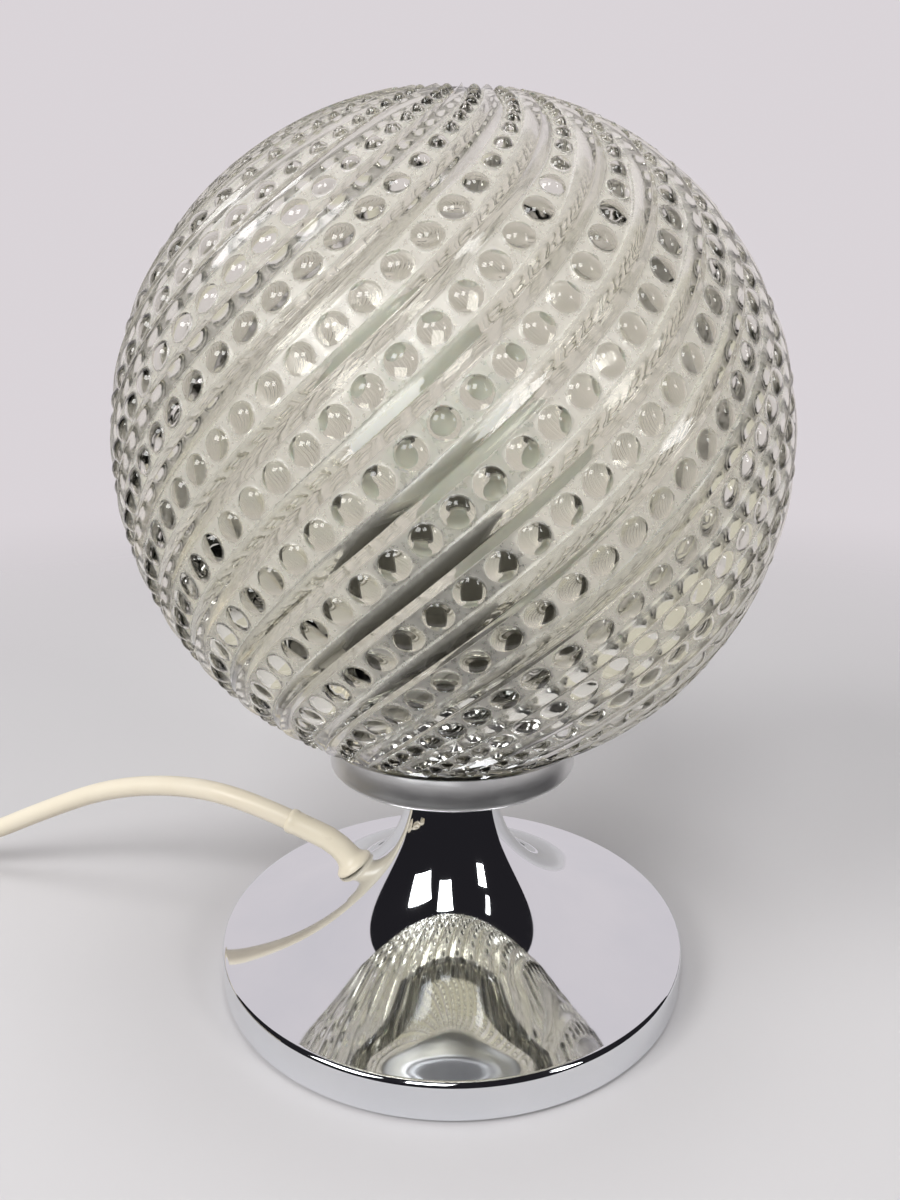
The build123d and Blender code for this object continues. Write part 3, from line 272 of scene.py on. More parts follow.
# How the bead rows wind: ROW_WIND degrees of longitude per degree of latitude at ROW_MIDDLE, less away from it
BEAD_ROWS = 26
PITCH = 360.0 / BEAD_ROWS
ROW_START = -68.915
ROW_WIND = 1.1563
ROW_WIND_RATE = 0.7682
ROW_MIDDLE = -13.19

# Latitudes of a row's beads: a polynomial of their number where they are seen, and offsets past both ends
SEEN_BEADS = 30
BEAD_LATITUDE = (1.514e-5, -1.203e-3, 0.033892, -0.38766, -2.40877, 60.981)
BEADS_ABOVE = (12.0, 9.2, 6.2, 3.1)
BEADS_BELOW = (3.5, 7.0, 10.4)

# Angular radius of a bead, and what it loses: (loss, from this distance off the equator, over this run)
BEAD_RADIUS = 2.27
BEAD_LOSSES = ((0.77, 38, 10), (0.35, 48, 12))

# The patterned zone: its edges past the outer beads, and the lines over which it fades
EDGE_ABOVE, EDGE_BELOW = 1.4, 1.7
FADE_ABOVE, FADE_BELOW = 5, 3

# A bead's cell: mesh steps across it, how many steps of each half lie on the dome, the dome's half angle, the
# cell's width over the bead's, its largest half width over the pitch, and the rise under which it is frosted
CELL = 16
BEAD_STEPS = 6
BEAD_TILT = math.radians(56)
BEAD_ROOM = 1.03
ROW_SHARE = 0.36
BEAD_FOOT = 0.02

# A rib across its width, by share: its rise, and how frosted it is
RIB_PROFILE = (
    (0.02, 0.0), (0.05, 0.28), (0.09, 0.40), (0.20, 0.54), (0.30, 0.66), (0.50, 0.90), (0.535, 0.98),
    (0.56, 1.0), (0.585, 0.97), (0.62, 0.86), (0.76, 0.52), (0.90, 0.30), (0.94, 0.22), (0.98, 0.0),
)
RIB_FROST_SHARES = (0.07, 0.10, 0.25, 0.32, 0.60, 0.64, 0.90, 0.94)
RIB_FROST = (1, 0.55, 0.45, 0, 0, 0.32, 0.32, 1)

# Above the pattern: a button at the pole as (radius, drop under the crest), and the crown round it
BUTTON = ((0.5, 0.0), (3.0, 0.05), (5.0, 0.25), (6.0, 0.75))
CROWN_TOP = 89.3
CROWN_GAP = 1.6
CROWN_STEPS = 6
CROWN_LEAST_RADIUS = 7.2
CROWN_FROST = 0.1

# Below it, as (radius, height): shoulder and neck, and the bore up to the inner sphere
SHOULDER = [
    (39.6, 75.9), (38.4, 74.2), (37.2, 72.2), (36.4, 71.5), (35.6, 71.4), (33.0, 71.4), (31.9, 71.3),
]
NECK = [
    (31.5, 70.9), (31.5, 66.0), (31.4, 64.3), (31.1, 64.0), (28.5, 64.0), (28.15, 64.3), (28.1, 66.0),
]
BORE_TOP = (28.1, 72.0)
INNER_START_RADIUS = 28.4
INNER_TOP = 89.5
INNER_STEPS = 70


def row_longitude(latitude):
    """How a bead row winds: its longitude at each latitude, in degrees."""
    swing = np.degrees(np.sin(ROW_WIND_RATE * np.radians(latitude - ROW_MIDDLE)))
    return ROW_START + ROW_WIND / ROW_WIND_RATE * swing


def row_slope(latitude):
    """Tangent of a row's lean from the meridian."""
    wind = ROW_WIND * np.cos(ROW_WIND_RATE * np.radians(latitude - ROW_MIDDLE))
    return np.cos(np.radians(latitude)) * wind


def bead_latitudes():
    """From the top down."""
    seen = np.polyval(BEAD_LATITUDE, np.arange(SEEN_BEADS))
    above = BEAD_LATITUDE[-1] + np.array(BEADS_ABOVE)
    below = seen[-1] - np.array(BEADS_BELOW)
    return np.concatenate([above, seen, below])


def smooth_step(value):
    value = np.clip(value, 0, 1)
    return value * value * (3 - 2 * value)


def bead_radius(latitude):
    """Angular radius of a bead: even over the middle, smaller towards both ends."""
    radius = BEAD_RADIUS
    for loss, start, run in BEAD_LOSSES:
        radius = radius - loss * smooth_step((np.abs(latitude) - start) / run)
    return radius


def globe_lines():
    """Lines of the patterned zone from the top down: (latitude, its bead's, place in the cell, strength)."""
    beads = bead_latitudes()
    middles = (beads[:-1] + beads[1:]) / 2
    bounds = np.concatenate([[beads[0] + EDGE_ABOVE], middles, [beads[-1] - EDGE_BELOW]])
    steps = np.linspace(-1, 1, CELL + 1)
    above, below = range(FADE_ABOVE, 0, -1), range(1, FADE_BELOW + 1)
    lines = [(bounds[0] + fade, None, 0.0, 1 - fade / FADE_ABOVE) for fade in above]
    for cell, bead in enumerate(beads):
        for q in steps[: CELL + (cell == len(beads) - 1)]:
            end = bounds[cell] if q < 0 else bounds[cell + 1]
            lines.append((bead + abs(q) * (end - bead), bead, q, 1.0))
    return lines + [(bounds[-1] - fade, None, 0.0, 1 - fade / FADE_BELOW) for fade in below]


def globe_grid():
    """Latitude, longitude, height over the skin and frost of one bead row and its rib, line by line."""
    lines = globe_lines()
    steps = np.linspace(-1, 1, CELL + 1)
    columns = CELL + 1 + len(RIB_PROFILE)
    latitude, shift, height, frost = (np.zeros((len(lines), columns)) for _ in range(4))
    for index, (line, bead, q, strength) in enumerate(lines):
        slope = row_slope(line)
        sine, cosine = slope / math.hypot(1, slope), 1 / math.hypot(1, slope)
        squeeze = math.cos(math.radians(line)) * cosine
        half = min(bead_radius(line) * BEAD_ROOM, ROW_SHARE * PITCH * squeeze)
        foot = half / squeeze
        step_u, step_lat = np.zeros(CELL + 1), np.zeros(CELL + 1)
        if bead is not None:
            move_d, move_a, rise = bead_warp(bead, line, q, steps, half, cosine)
            step_u = move_d / squeeze
            step_lat = move_a * cosine - move_d * sine
            height[index, : CELL + 1] = rise * BEAD_HEIGHT
            frost[index, : CELL + 1] = rise <= BEAD_FOOT
        else:
            frost[index, : CELL + 1] = strength
        lean = half * sine * strength
        latitude[index, : CELL + 1] = line - steps * lean + step_lat
        shift[index, : CELL + 1] = steps * half / squeeze + step_u
        for place, (share, rise) in enumerate(RIB_PROFILE, CELL + 1):
            latitude[index, place] = line - lean + 2 * lean * share
            shift[index, place] = foot + share * (PITCH - 2 * foot)
            height[index, place] = RIB_HEIGHT * rise * strength
            frost[index, place] = np.interp(share, RIB_FROST_SHARES, RIB_FROST)
    return latitude, shift, height, frost


def bead_warp(bead, line, q, steps, half, cosine):
    """Moves that turn a cell's square rings into the bead's circles, and the dome's height."""
    radius = bead_radius(bead)
    edge = BEAD_STEPS / (CELL / 2)
    tiny = 1e-9
    size = np.maximum(np.abs(steps), abs(q))
    size_safe = np.maximum(size, tiny)
    along = (line - bead) / cosine
    full_along = along / max(abs(q), tiny)
    border_d = steps / size_safe * half
    border_a = full_along * abs(q) / size_safe
    length = np.maximum(np.hypot(border_d, border_a), tiny)
    circle_d, circle_a = border_d / length * radius, border_a / length * radius
    tilt = np.clip(size / edge, 0, 1) * BEAD_TILT
    inner = np.sin(tilt) / math.sin(BEAD_TILT)
    outer = np.clip((size - edge) / (1 - edge), 0, 1)
    target_d = np.where(size <= edge, circle_d * inner, circle_d + (border_d - circle_d) * outer)
    target_a = np.where(size <= edge, circle_a * inner, circle_a + (border_a - circle_a) * outer)
    rise = np.where(size < edge, (np.cos(tilt) - math.cos(BEAD_TILT)) / (1 - math.cos(BEAD_TILT)), 0.0)
    return target_d - steps * half, target_a - along, rise


def turned_rings(profile, longitude):
    """A ring of points for each (radius, height), one at every longitude, in radians."""
    profile = np.array(profile)
    rings = np.empty((len(profile), len(longitude), 3))
    rings[:, :, 0] = profile[:, :1] * np.sin(longitude)
    rings[:, :, 1] = -profile[:, :1] * np.cos(longitude)
    rings[:, :, 2] = profile[:, 1:]
    return rings


def globe_piece(material):
    """One closed mesh: crown, pattern, shoulder, neck and the smooth inside, with frost as an attribute."""
    latitude, shift, height, frost = globe_grid()
    rows, columns = latitude.shape
    turns = np.arange(BEAD_ROWS) * PITCH
    longitude = row_longitude(latitude)[:, None, :] + shift[:, None, :] + turns[None, :, None]
    latitude, height, frost = (
        np.broadcast_to(values[:, None, :], (rows, BEAD_ROWS, columns)).reshape(rows, -1)
        for values in (latitude, height, frost)
    )
    radius = SKIN_RADIUS + height
    lon, lat = np.radians(longitude.reshape(rows, -1)), np.radians(latitude)
    across, up = np.cos(lat), GLOBE_CENTRE + radius * np.sin(lat)
    pattern = np.stack([radius * np.sin(lon) * across, -radius * np.cos(lon) * across, up], -1)
    count = pattern.shape[1]

    centre = (0, GLOBE_CENTRE)
    crown = arc(centre, SKIN_RADIUS, CROWN_TOP, latitude[0].min() + CROWN_GAP, CROWN_STEPS)
    crown = [point for point in crown if point[0] > CROWN_LEAST_RADIUS]
    crown = [(r, GLOBE_CENTRE + CREST_RADIUS - drop) for r, drop in BUTTON] + crown
    inner_start = -math.degrees(math.acos(INNER_START_RADIUS / INNER_RADIUS))
    inside = [BORE_TOP] + arc(centre, INNER_RADIUS, inner_start, INNER_TOP, INNER_STEPS)
    top_rings = turned_rings(crown, lon[0])
    low_rings = turned_rings(SHOULDER + NECK + inside, lon[-1])
    rings = np.concatenate([top_rings, pattern, low_rings])[::-1]
    total = len(rings)
    faces = grid_faces(total - 1, count, total)
    faces.append(list(range(count))[::-1])
    faces.append(list(range((total - 1) * count, total * count)))
    piece = add_mesh("glass_globe", rings.reshape(-1, 3), faces, material, "globe")

    values = np.zeros((total, count), np.float32)
    values[: len(crown)] = CROWN_FROST
    values[len(crown) : len(crown) + rows] = frost
    attribute = piece.data.attributes.new("frost", "FLOAT", "POINT")
    attribute.data.foreach_set("value", values[::-1].ravel())
    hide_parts("globe")


# ---------------------------------------------------------------- pedestal and collar
# Profiles as (radius, height), and rounds as (centre, radius, first angle, last angle, steps)
FLARE_POLES = ((12.6, 51.3), (12.6, 39.7), (21.704, 16.658), (63.117, 10.985))
FLARE_STEPS = 96

# Inside this radius the flare stands a little above the solid, which makes the collar it mirrors small enough
FLARE_LIFT = 0.45
FLARE_LIFT_EDGE = 59.5
FLARE_LIFT_RUN = 20

PEDESTAL_RIM = [(62.3, 0.8), (64.1, 0.8), (64.5, 1.2), (64.5, 5.0)]
RIM_ROUND = ((62.9, 9.4), 1.6, 0, 81, 10)
NECK_ROUND = ((11.1, 60.0), 1.5, 0, 90, 8)
PEDESTAL_NECK_INSIDE = [(5.2, 61.5), (5.2, 60.5), (10.6, 60.5), (11.6, 59.5)]
PEDESTAL_RIM_INSIDE = [(63.5, 9.994), (63.5, 1.8), (62.3, 1.8)]
PEDESTAL_SEGMENTS = 256

COLLAR_FLOOR = [(5.2, 61.5), (31.6, 61.5)]
COLLAR_ROUND = ((32.2, 62.3), 0.8, 270, 360, 6)
COLLAR_SIDE = [(33.0, 63.2), (32.85, 63.5), (32.85, 69.4), (33.0, 69.7)]
COLLAR_LIP = ((32.65, 70.15), 0.35, 0, 180, 6)
COLLAR_INSIDE = [(32.1, 69.0), (32.1, 62.6), (31.9, 62.4), (5.2, 62.4)]
COLLAR_SEGMENTS = 192


def flare():
    """Points of the flare from the neck to the rim: its outer surface and, 1 mm under it, its inner one."""
    outer, inner = [], []
    p = np.array(FLARE_POLES)
    for share in np.linspace(0, 1, FLARE_STEPS + 1):
        rest = 1 - share
        point = rest**3 * p[0] + 3 * rest**2 * share * p[1] + 3 * rest * share**2 * p[2] + share**3 * p[3]
        way = rest**2 * (p[1] - p[0]) + 2 * rest * share * (p[2] - p[1]) + share**2 * (p[3] - p[2])
        way /= np.hypot(*way)
        point[1] += FLARE_LIFT * smooth_step((FLARE_LIFT_EDGE - point[0]) / FLARE_LIFT_RUN)
        outer.append(tuple(point))
        inner.append((point[0] + way[1], point[1] - way[0]))
    return outer, inner


def pedestal_piece(material):
    """Spun shell with its rim, flare and neck."""
    outer, inner = flare()
    outside = PEDESTAL_RIM + arc(*RIM_ROUND) + outer[::-1] + arc(*NECK_ROUND)
    inside = PEDESTAL_NECK_INSIDE + inner + PEDESTAL_RIM_INSIDE
    points, faces = lathe(outside + inside, PEDESTAL_SEGMENTS)
    piece = add_mesh("pedestal_shell", points, faces, material, "lamp", 35)
    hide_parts("pedestal")


def collar_piece(material):
    """Cup with a rounded lower edge and a thin bright lip."""
    profile = COLLAR_FLOOR + arc(*COLLAR_ROUND) + COLLAR_SIDE + arc(*COLLAR_LIP) + COLLAR_INSIDE
    points, faces = lathe(profile, COLLAR_SEGMENTS)
    piece = add_mesh("collar_cup", points, faces, material, "lamp", 40)
    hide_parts("collar")


# ---------------------------------------------------------------- cord
# Routes in metres: from the strain relief to the switch, from there to the coil, from the coil to the plug
SLEEVE_END = (-0.047533, 0.010103, 0.036603)
LEAD = [
    SLEEVE_END,
    (-0.061231, 0.013015, 0.041978),
    (-0.083, 0.023, 0.0413),
    (-0.107, 0.0305, 0.0362),
    (-0.131, 0.037, 0.025),
    (-0.152, 0.041, 0.0145),
    (-0.172, 0.043, 0.009),
    (-0.19, 0.043, 0.009),
]
LINK = [
    (-0.25, 0.043, 0.009),
    (-0.266, 0.043, 0.009),
    (-0.2815, 0.0385, 0.008),
    (-0.295, 0.029, 0.006),
    (-0.3045, 0.0155, 0.004),
    (-0.31, 0.0005, 0.003),
]
TAIL = [
    (-0.2585, -0.06599, 0.0096),
    (-0.2455, -0.06631, 0.0096),
    (-0.228, -0.0665, 0.00685),
    (-0.21, -0.0665, 0.00685),
]
CORD_DIAMETER = 0.006

# The coil, in millimetres round COIL_CENTRE: in on the surface, up in half a turn, and out on top
COIL_CENTRE = (-0.2645, -0.022)
COIL_OUTER_RADIUS = 45.5
COIL_INNER_RADIUS = 25.7
COIL_PITCH = 6.6
COIL_LOW = 3.0
COIL_TURNS_IN = 3.0
COIL_TURNS = 6.25
COIL_POINTS_PER_TURN = 20

# Strap round the coil's turns: (nearest, farthest, bottom, top, corner radius) of its outside and its inside
STRAP_OUTSIDE = (23.5, 44.4, 0.02, 13.3, 3.6)
STRAP_INSIDE = (24.1, 43.8, 0.6, 12.7, 3.0)
STRAP_WIDTH = 7.0
STRAP_CORNER_STEPS = 8

# Strain relief: where it stands, its two directions, its axis before and after the bend, and its profile as
# (distance along it, radius)
EXIT_POINT = Vector((-27.682, 5.884, 23.637))
EXIT_NORMAL = Vector((-0.58228, 0.12377, 0.80351)).normalized()
SLEEVE_DIRECTION = Vector((-0.91318, 0.19410, 0.35837)).normalized()
SLEEVE_RISE = 9.0
SLEEVE_RUN = 16.0
SLEEVE_BEND = 5.0
SLEEVE_SAMPLES = 48
SLEEVE_PROFILE = [
    (0.42, 3.2), (0.42, 5.3), (0.6, 5.6), (1.1, 5.65), (1.6, 5.5), (2.1, 5.05), (2.5, 4.55),
    (3.1, 4.05), (4.0, 3.72), (5.5, 3.52), (8.0, 3.45), (12.0, 3.42), (16.0, 3.4),
    (19.0, 3.38), (21.5, 3.38), (22.2, 3.45), (22.9, 3.6), (23.6, 3.6), (24.3, 3.45), (24.6, 3.05),
]


def coil_points():
    """Control points of the coil, set out a little so that the curve between them has the coil's radius."""
    points = []
    swell = 1 / math.cos(math.pi / COIL_POINTS_PER_TURN)
    for step in range(int(COIL_TURNS * COIL_POINTS_PER_TURN) + 1):
        turn = step / COIL_POINTS_PER_TURN
        past = turn - COIL_TURNS_IN
        if past <= 0:
            radius, height = COIL_OUTER_RADIUS - COIL_PITCH * turn, COIL_LOW
        elif past < 0.5:
            radius = COIL_INNER_RADIUS - COIL_PITCH * past + 2 * COIL_PITCH * past * past
            height = COIL_LOW + COIL_PITCH / 2 * (1 - math.cos(2 * math.pi * past))
        else:
            radius, height = COIL_INNER_RADIUS + COIL_PITCH * (past - 0.5), COIL_LOW + COIL_PITCH
        angle = math.pi + 2 * math.pi * turn
        points.append((
            COIL_CENTRE[0] + radius * MM * swell * math.cos(angle),
            COIL_CENTRE[1] + radius * MM * swell * math.sin(angle),
            height * MM,
        ))
    return points


def cord_piece(material):
    """One smooth line from the strain relief through the switch and the coil to the plug."""
    points = LEAD + LINK + coil_points() + TAIL
    curve = bpy.data.curves.new("cord", "CURVE")
    curve.dimensions = "3D"
    curve.bevel_depth = CORD_DIAMETER / 2
    curve.bevel_resolution = 6
    curve.resolution_u = 8
    curve.use_fill_caps = True
    spline = curve.splines.new("NURBS")
    spline.points.add(len(points) - 1)
    for control, point in zip(spline.points, points):
        control.co = (*point, 1.0)
    spline.order_u = 3
    spline.use_endpoint_u = True
    curve.materials.append(material)
    piece = bpy.data.objects.new("cord", curve)
    bpy.context.scene.collection.objects.link(piece)
    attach(piece, "lamp")
    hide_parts("cord_lead", "cord_link", "cord_coil", "cord_tail")


def round_rectangle(low, high, bottom, top, corner):
    """Its points, anticlockwise from the right."""
    right, left, upper, lower = high - corner, low + corner, top - corner, bottom + corner
    points = []
    for quarter, centre in enumerate(((right, upper), (left, upper), (left, lower), (right, lower))):
        points += arc(centre, corner, 90 * quarter, 90 * quarter + 90, STRAP_CORNER_STEPS)
    return points


def coil_tie_piece(material):
    """Flat strap round the coil's turns, on the side towards the switch."""
    outline, inline = round_rectangle(*STRAP_OUTSIDE), round_rectangle(*STRAP_INSIDE)
    half, points = STRAP_WIDTH / 2, []
    for outside, inside in zip(outline, inline):
        for (along, up), side in ((outside, half), (outside, -half), (inside, -half), (inside, half)):
            points.append((COIL_CENTRE[0] / MM + side, COIL_CENTRE[1] / MM + along, up))
    faces = grid_faces(len(outline), 4, len(outline))
    add_mesh("coil_tie", points, faces, material, "lamp", 50)


def strain_relief_piece(material):
    """Domed flange on the flare and a bent, tapering sleeve that ends in a small bead."""
    side = EXIT_NORMAL.cross(SLEEVE_DIRECTION).normalized()
    inward = side.cross(EXIT_NORMAL).normalized()
    end = EXIT_POINT + EXIT_NORMAL * SLEEVE_RISE + SLEEVE_DIRECTION * SLEEVE_RUN
    half_turn = EXIT_NORMAL.angle(SLEEVE_DIRECTION) / 2
    radius = SLEEVE_BEND / math.tan(half_turn)
    straight = SLEEVE_RISE - SLEEVE_BEND
    bent = 2 * half_turn * radius
    axis_length = straight + bent + SLEEVE_RUN - SLEEVE_BEND
    profile_length = SLEEVE_PROFILE[-1][0]

    def place(distance):
        """Point and direction of the axis: straight, a round bend, straight."""
        if distance < straight:
            return EXIT_POINT + EXIT_NORMAL * distance, EXIT_NORMAL
        past = distance - straight
        if past < bent:
            sine, cosine = math.sin(past / radius), math.cos(past / radius)
            centre = EXIT_POINT + EXIT_NORMAL * straight + inward * radius
            point = centre - inward * radius * cosine + EXIT_NORMAL * radius * sine
            return point, EXIT_NORMAL * cosine + inward * sine
        return end - SLEEVE_DIRECTION * (axis_length - distance), SLEEVE_DIRECTION

    points = []
    for distance, outer in SLEEVE_PROFILE:
        centre, way = place(min(distance * axis_length / profile_length, axis_length))
        up = way.cross(side).normalized()
        for step in range(SLEEVE_SAMPLES):
            angle = 2 * math.pi * step / SLEEVE_SAMPLES
            points.append(tuple(centre + side * (outer * math.cos(angle)) + up * (outer * math.sin(angle))))
    faces = grid_faces(len(SLEEVE_PROFILE) - 1, SLEEVE_SAMPLES, len(SLEEVE_PROFILE))
    faces.append(list(range(SLEEVE_SAMPLES))[::-1])
    faces.append(list(range(len(points) - SLEEVE_SAMPLES, len(points))))
    piece = add_mesh("strain_relief", points, faces, material, "lamp", 60)
    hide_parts("cord_grommet")


# ---------------------------------------------------------------- materials of the carried nodes
NODE_LOOKS = {
    "iron": ("base_weight",),
    "steel": (
        "base_plate", "threaded_nipple", "lower_nut", "lower_washer", "upper_nut", "upper_washer",
        "terminal_screws", "bulb_leads", "bulb_filament", "switch_screws",
    ),
    "felt": ("felt_pad",),
    "rubber": ("neck_gasket",),
    "black": ("holder_cap", "holder_sleeve", "bulb_insulator"),
    "ceramic": ("holder_insert",),
    "brass": ("holder_thread", "centre_contact", "terminals", "bulb_foot", "switch_contacts", "plug_pins"),
    "frosted": ("bulb_glass",),
    "aluminium": ("bulb_cap",),
    "clear": ("bulb_stem",),
    "cream": (
        "grommet_lock", "switch_base", "switch_cover", "switch_rocker", "plug_body", "plug_pin_sleeves",
    ),
    "tie": ("cord_tie",),
    "sheath": ("inner_cord",),
    "brown": ("wire_live",),
    "blue": ("wire_neutral",),
}


def dress_nodes(materials):
    for key, nodes in NODE_LOOKS.items():
        for node in nodes:
            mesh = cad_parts[node].data
            mesh.materials.clear()
            mesh.materials.append(materials[key])


# ---------------------------------------------------------------- surroundings
# Colours: the backdrop is what the camera, chrome and glass see, and the sky lights the rest
BACKDROP = (0.70, 0.66, 0.69, 1)
SKY = (1.0, 0.99, 1.0, 1)
SKY_STRENGTH = 0.36
FLOOR_COLOUR = (0.635, 0.62, 0.63, 1)
# ROOM_BLACK is painted reflection, the black that chrome and glass mirror from the room; ROOM_THROUGH_GLASS is
# a painted warm grey glow that the room shows only through glass
ROOM_BLACK = (0.016, 0.015, 0.018, 1)
ROOM_THROUGH_GLASS = (0.64, 0.61, 0.53, 1)

FLOOR_SIZE = 6
FLOOR_HEIGHT = -0.0001
FLOOR_FADE = (0.2, 0.8)

# The dark room: half a turn and more round the front, from the table's edge out and up
ROOM_REACH = 2.2
ROOM_SIDE = 108.0
ROOM_COLUMNS = 25
ROOM_ELEVATIONS = range(8, 89, 8)
TABLE_REACH = 0.125
TABLE_HEIGHT = 0.0003

# Windows as (name, azimuth, elevation, width, height, radiance), in degrees seen from the lamp
WINDOW_REACH = 1.8
WINDOW_TARGET = (0, 0, 0.1)
WINDOWS = (
    ("window_left", -51, 39, 23, 20, 9.5),
    ("window_middle", -11, 47, 15, 20, 9.5),
    ("window_right", 52, 30, 10, 15, 9.5),
    ("window_far_right", 58, 48, 3.5, 11, 6.0),
)
CEILING_PLACE = (0.05, -0.1, 1.3)
CEILING_SIZE = (0.5, 0.5)
CEILING_POWER = 3.8


def add_light(name, place, target, size, power):
    data = bpy.data.lights.new(name, "AREA")
    data.shape = "RECTANGLE"
    data.size, data.size_y = size
    data.energy = power
    light = bpy.data.objects.new(name, data)
    light.location = place
    light.rotation_euler = (Vector(target) - Vector(place)).to_track_quat("-Z", "Y").to_euler()
    bpy.context.scene.collection.objects.link(light)
    return light


def coloured(tree, kind, colour):
    """A shader node's output, in this colour."""
    node = tree.nodes.new(kind)
    node.inputs["Color"].default_value = colour
    return node.outputs[0]


def mixed(tree, factor, first, second):
    """The first shader where the factor is 0, the second where it is 1."""
    node = tree.nodes.new("ShaderNodeMixShader")
    for socket, value in zip(node.inputs, (factor, first, second)):
        tree.links.new(value, socket)
    return node.outputs[0]


def seen_by(tree, *kinds):
    """1 for the named kinds of ray, else 0."""
    path = tree.nodes.new("ShaderNodeLightPath")
    result = path.outputs[kinds[0]]
    for kind in kinds[1:]:
        node = tree.nodes.new("ShaderNodeMath")
        node.operation = "MAXIMUM"
        tree.links.new(result, node.inputs[0])
        tree.links.new(path.outputs[kind], node.inputs[1])
        result = node.outputs[0]
    return result


def stage_material(name):
    """A material without nodes but its output, the output's socket, and the tree."""
    material = bpy.data.materials.new(name)
    material.use_nodes = True
    tree = material.node_tree
    tree.nodes.clear()
    return material, tree.nodes.new("ShaderNodeOutputMaterial").inputs["Surface"], tree


def add_world():
    world = bpy.data.worlds.new("world")
    bpy.context.scene.world = world
    world.use_nodes = True
    tree = world.node_tree
    tree.nodes.clear()
    output = tree.nodes.new("ShaderNodeOutputWorld")
    lighting = coloured(tree, "ShaderNodeBackground", SKY)
    lighting.node.inputs["Strength"].default_value = SKY_STRENGTH
    shown = coloured(tree, "ShaderNodeBackground", BACKDROP)
    direct = seen_by(tree, "Is Camera Ray", "Is Glossy Ray", "Is Transmission Ray")
    tree.links.new(mixed(tree, direct, lighting, shown), output.inputs["Surface"])


def add_floor():
    """Pale floor that fades into the backdrop's colour far out."""
    material, surface, tree = stage_material("floor")
    length = tree.nodes.new("ShaderNodeVectorMath")
    length.operation = "LENGTH"
    tree.links.new(tree.nodes.new("ShaderNodeTexCoord").outputs["Object"], length.inputs[0])
    fade = tree.nodes.new("ShaderNodeMapRange")
    fade.interpolation_type = "SMOOTHSTEP"
    fade.inputs["From Min"].default_value, fade.inputs["From Max"].default_value = FLOOR_FADE
    tree.links.new(length.outputs["Value"], fade.inputs["Value"])
    pale = coloured(tree, "ShaderNodeBsdfDiffuse", FLOOR_COLOUR)
    clear = tree.nodes.new("ShaderNodeBsdfTransparent").outputs[0]
    tree.links.new(mixed(tree, fade.outputs[0], pale, clear), surface)
    bpy.ops.mesh.primitive_plane_add(size=FLOOR_SIZE, location=(0, 0, FLOOR_HEIGHT))
    floor = bpy.context.object
    floor.name = "floor"
    floor.data.materials.append(material)


def from_front(azimuth, elevation, distance):
    """The point that far from the lamp's foot; azimuth 0 is towards the viewer and grows towards +X."""
    a, e = math.radians(azimuth), math.radians(elevation)
    level = distance * math.cos(e)
    return (level * math.sin(a), -level * math.cos(a), distance * math.sin(e))


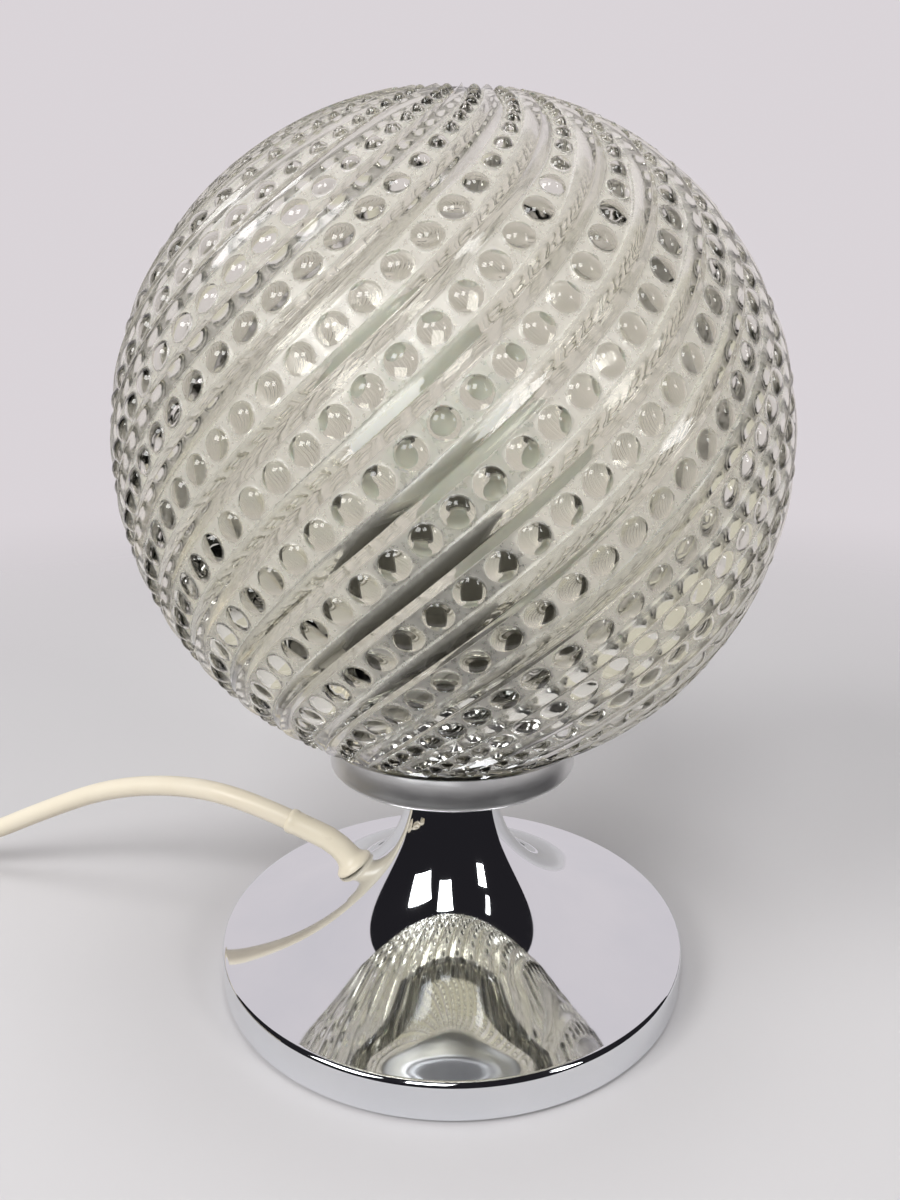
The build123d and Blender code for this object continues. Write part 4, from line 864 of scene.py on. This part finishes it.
def add_dark_room():
    """The unlit room before the lamp as a painted reflection: black emission that chrome and glass mirror, and
    a painted warm grey glow seen only through glass; the camera and the lamps pass through.
    """
    azimuths = np.linspace(-ROOM_SIDE, ROOM_SIDE, ROOM_COLUMNS)
    rings = [
        [(*from_front(a, 0, reach)[:2], TABLE_HEIGHT) for a in azimuths]
        for reach in (TABLE_REACH, ROOM_REACH)
    ]
    rings += [[from_front(a, e, ROOM_REACH) for a in azimuths] for e in ROOM_ELEVATIONS]
    points = [point for ring in rings for point in ring]
    starts = [row * ROOM_COLUMNS + c for row in range(len(rings) - 1) for c in range(ROOM_COLUMNS - 1)]
    faces = [[s, s + 1, s + ROOM_COLUMNS + 1, s + ROOM_COLUMNS] for s in starts]

    material, surface, tree = stage_material("dark_room")
    black = coloured(tree, "ShaderNodeEmission", ROOM_BLACK)
    grey = coloured(tree, "ShaderNodeEmission", ROOM_THROUGH_GLASS)
    clear = tree.nodes.new("ShaderNodeBsdfTransparent").outputs[0]
    mirrored = mixed(tree, seen_by(tree, "Is Glossy Ray"), clear, black)
    tree.links.new(mixed(tree, seen_by(tree, "Is Transmission Ray"), mirrored, grey), surface)

    mesh = bpy.data.meshes.new("dark_room")
    mesh.from_pydata(points, [], faces)
    mesh.materials.append(material)
    room = bpy.data.objects.new("dark_room", mesh)
    bpy.context.scene.collection.objects.link(room)


def add_windows():
    """Softboxes that face the lamp."""
    for name, azimuth, elevation, width, height, radiance in WINDOWS:
        size = [2 * WINDOW_REACH * math.tan(math.radians(angle / 2)) for angle in (width, height)]
        power = radiance * math.pi * size[0] * size[1]
        add_light(name, from_front(azimuth, elevation, WINDOW_REACH), WINDOW_TARGET, size, power)


def add_ceiling():
    """Even light from above for shadows under the cord; chrome and glass don't show it."""
    lamp = add_light("ceiling", CEILING_PLACE, (0, 0, 0), CEILING_SIZE, CEILING_POWER)
    lamp.visible_glossy = lamp.visible_transmission = False


def main():
    add_camera()
    materials = {
        "steel": plated_steel(), "iron": cast_iron(), "felt": felt(), "rubber": rubber(), "brass": brass(),
        "aluminium": spun_aluminium(), "frosted": frosted_glass(), "clear": clear_glass(),
        "black": plastic("black_plastic", (0.022, 0.021, 0.020), (0.045, 0.043, 0.041), 0.22),
        "ceramic": plastic("ceramic", (0.75, 0.73, 0.68), (0.82, 0.80, 0.76), 0.2),
        "cream": plastic("cream_plastic", (0.80, 0.72, 0.56), (0.85, 0.78, 0.63), 0.32),
        "sheath": plastic("cord_sheath", (0.80, 0.72, 0.57), (0.86, 0.79, 0.65), 0.38, 0.05),
        "tie": plastic("tie_plastic", (0.70, 0.69, 0.66), (0.76, 0.75, 0.72), 0.5),
        "brown": plastic("brown_wire", (0.12, 0.05, 0.025), (0.17, 0.08, 0.04), 0.4),
        "blue": plastic("blue_wire", (0.02, 0.08, 0.30), (0.04, 0.12, 0.40), 0.4),
    }
    dress_nodes(materials)
    strain_relief_piece(materials["cream"])
    coil_tie_piece(materials["tie"])
    cord_piece(materials["sheath"])
    pedestal_piece(chrome())
    collar_piece(materials["aluminium"])
    globe_piece(globe_glass())
    add_world()
    add_floor()
    add_dark_room()
    add_windows()
    add_ceiling()
    bpy.context.scene.view_settings.view_transform = "Standard"


main()
bpy.context.view_layer.update()
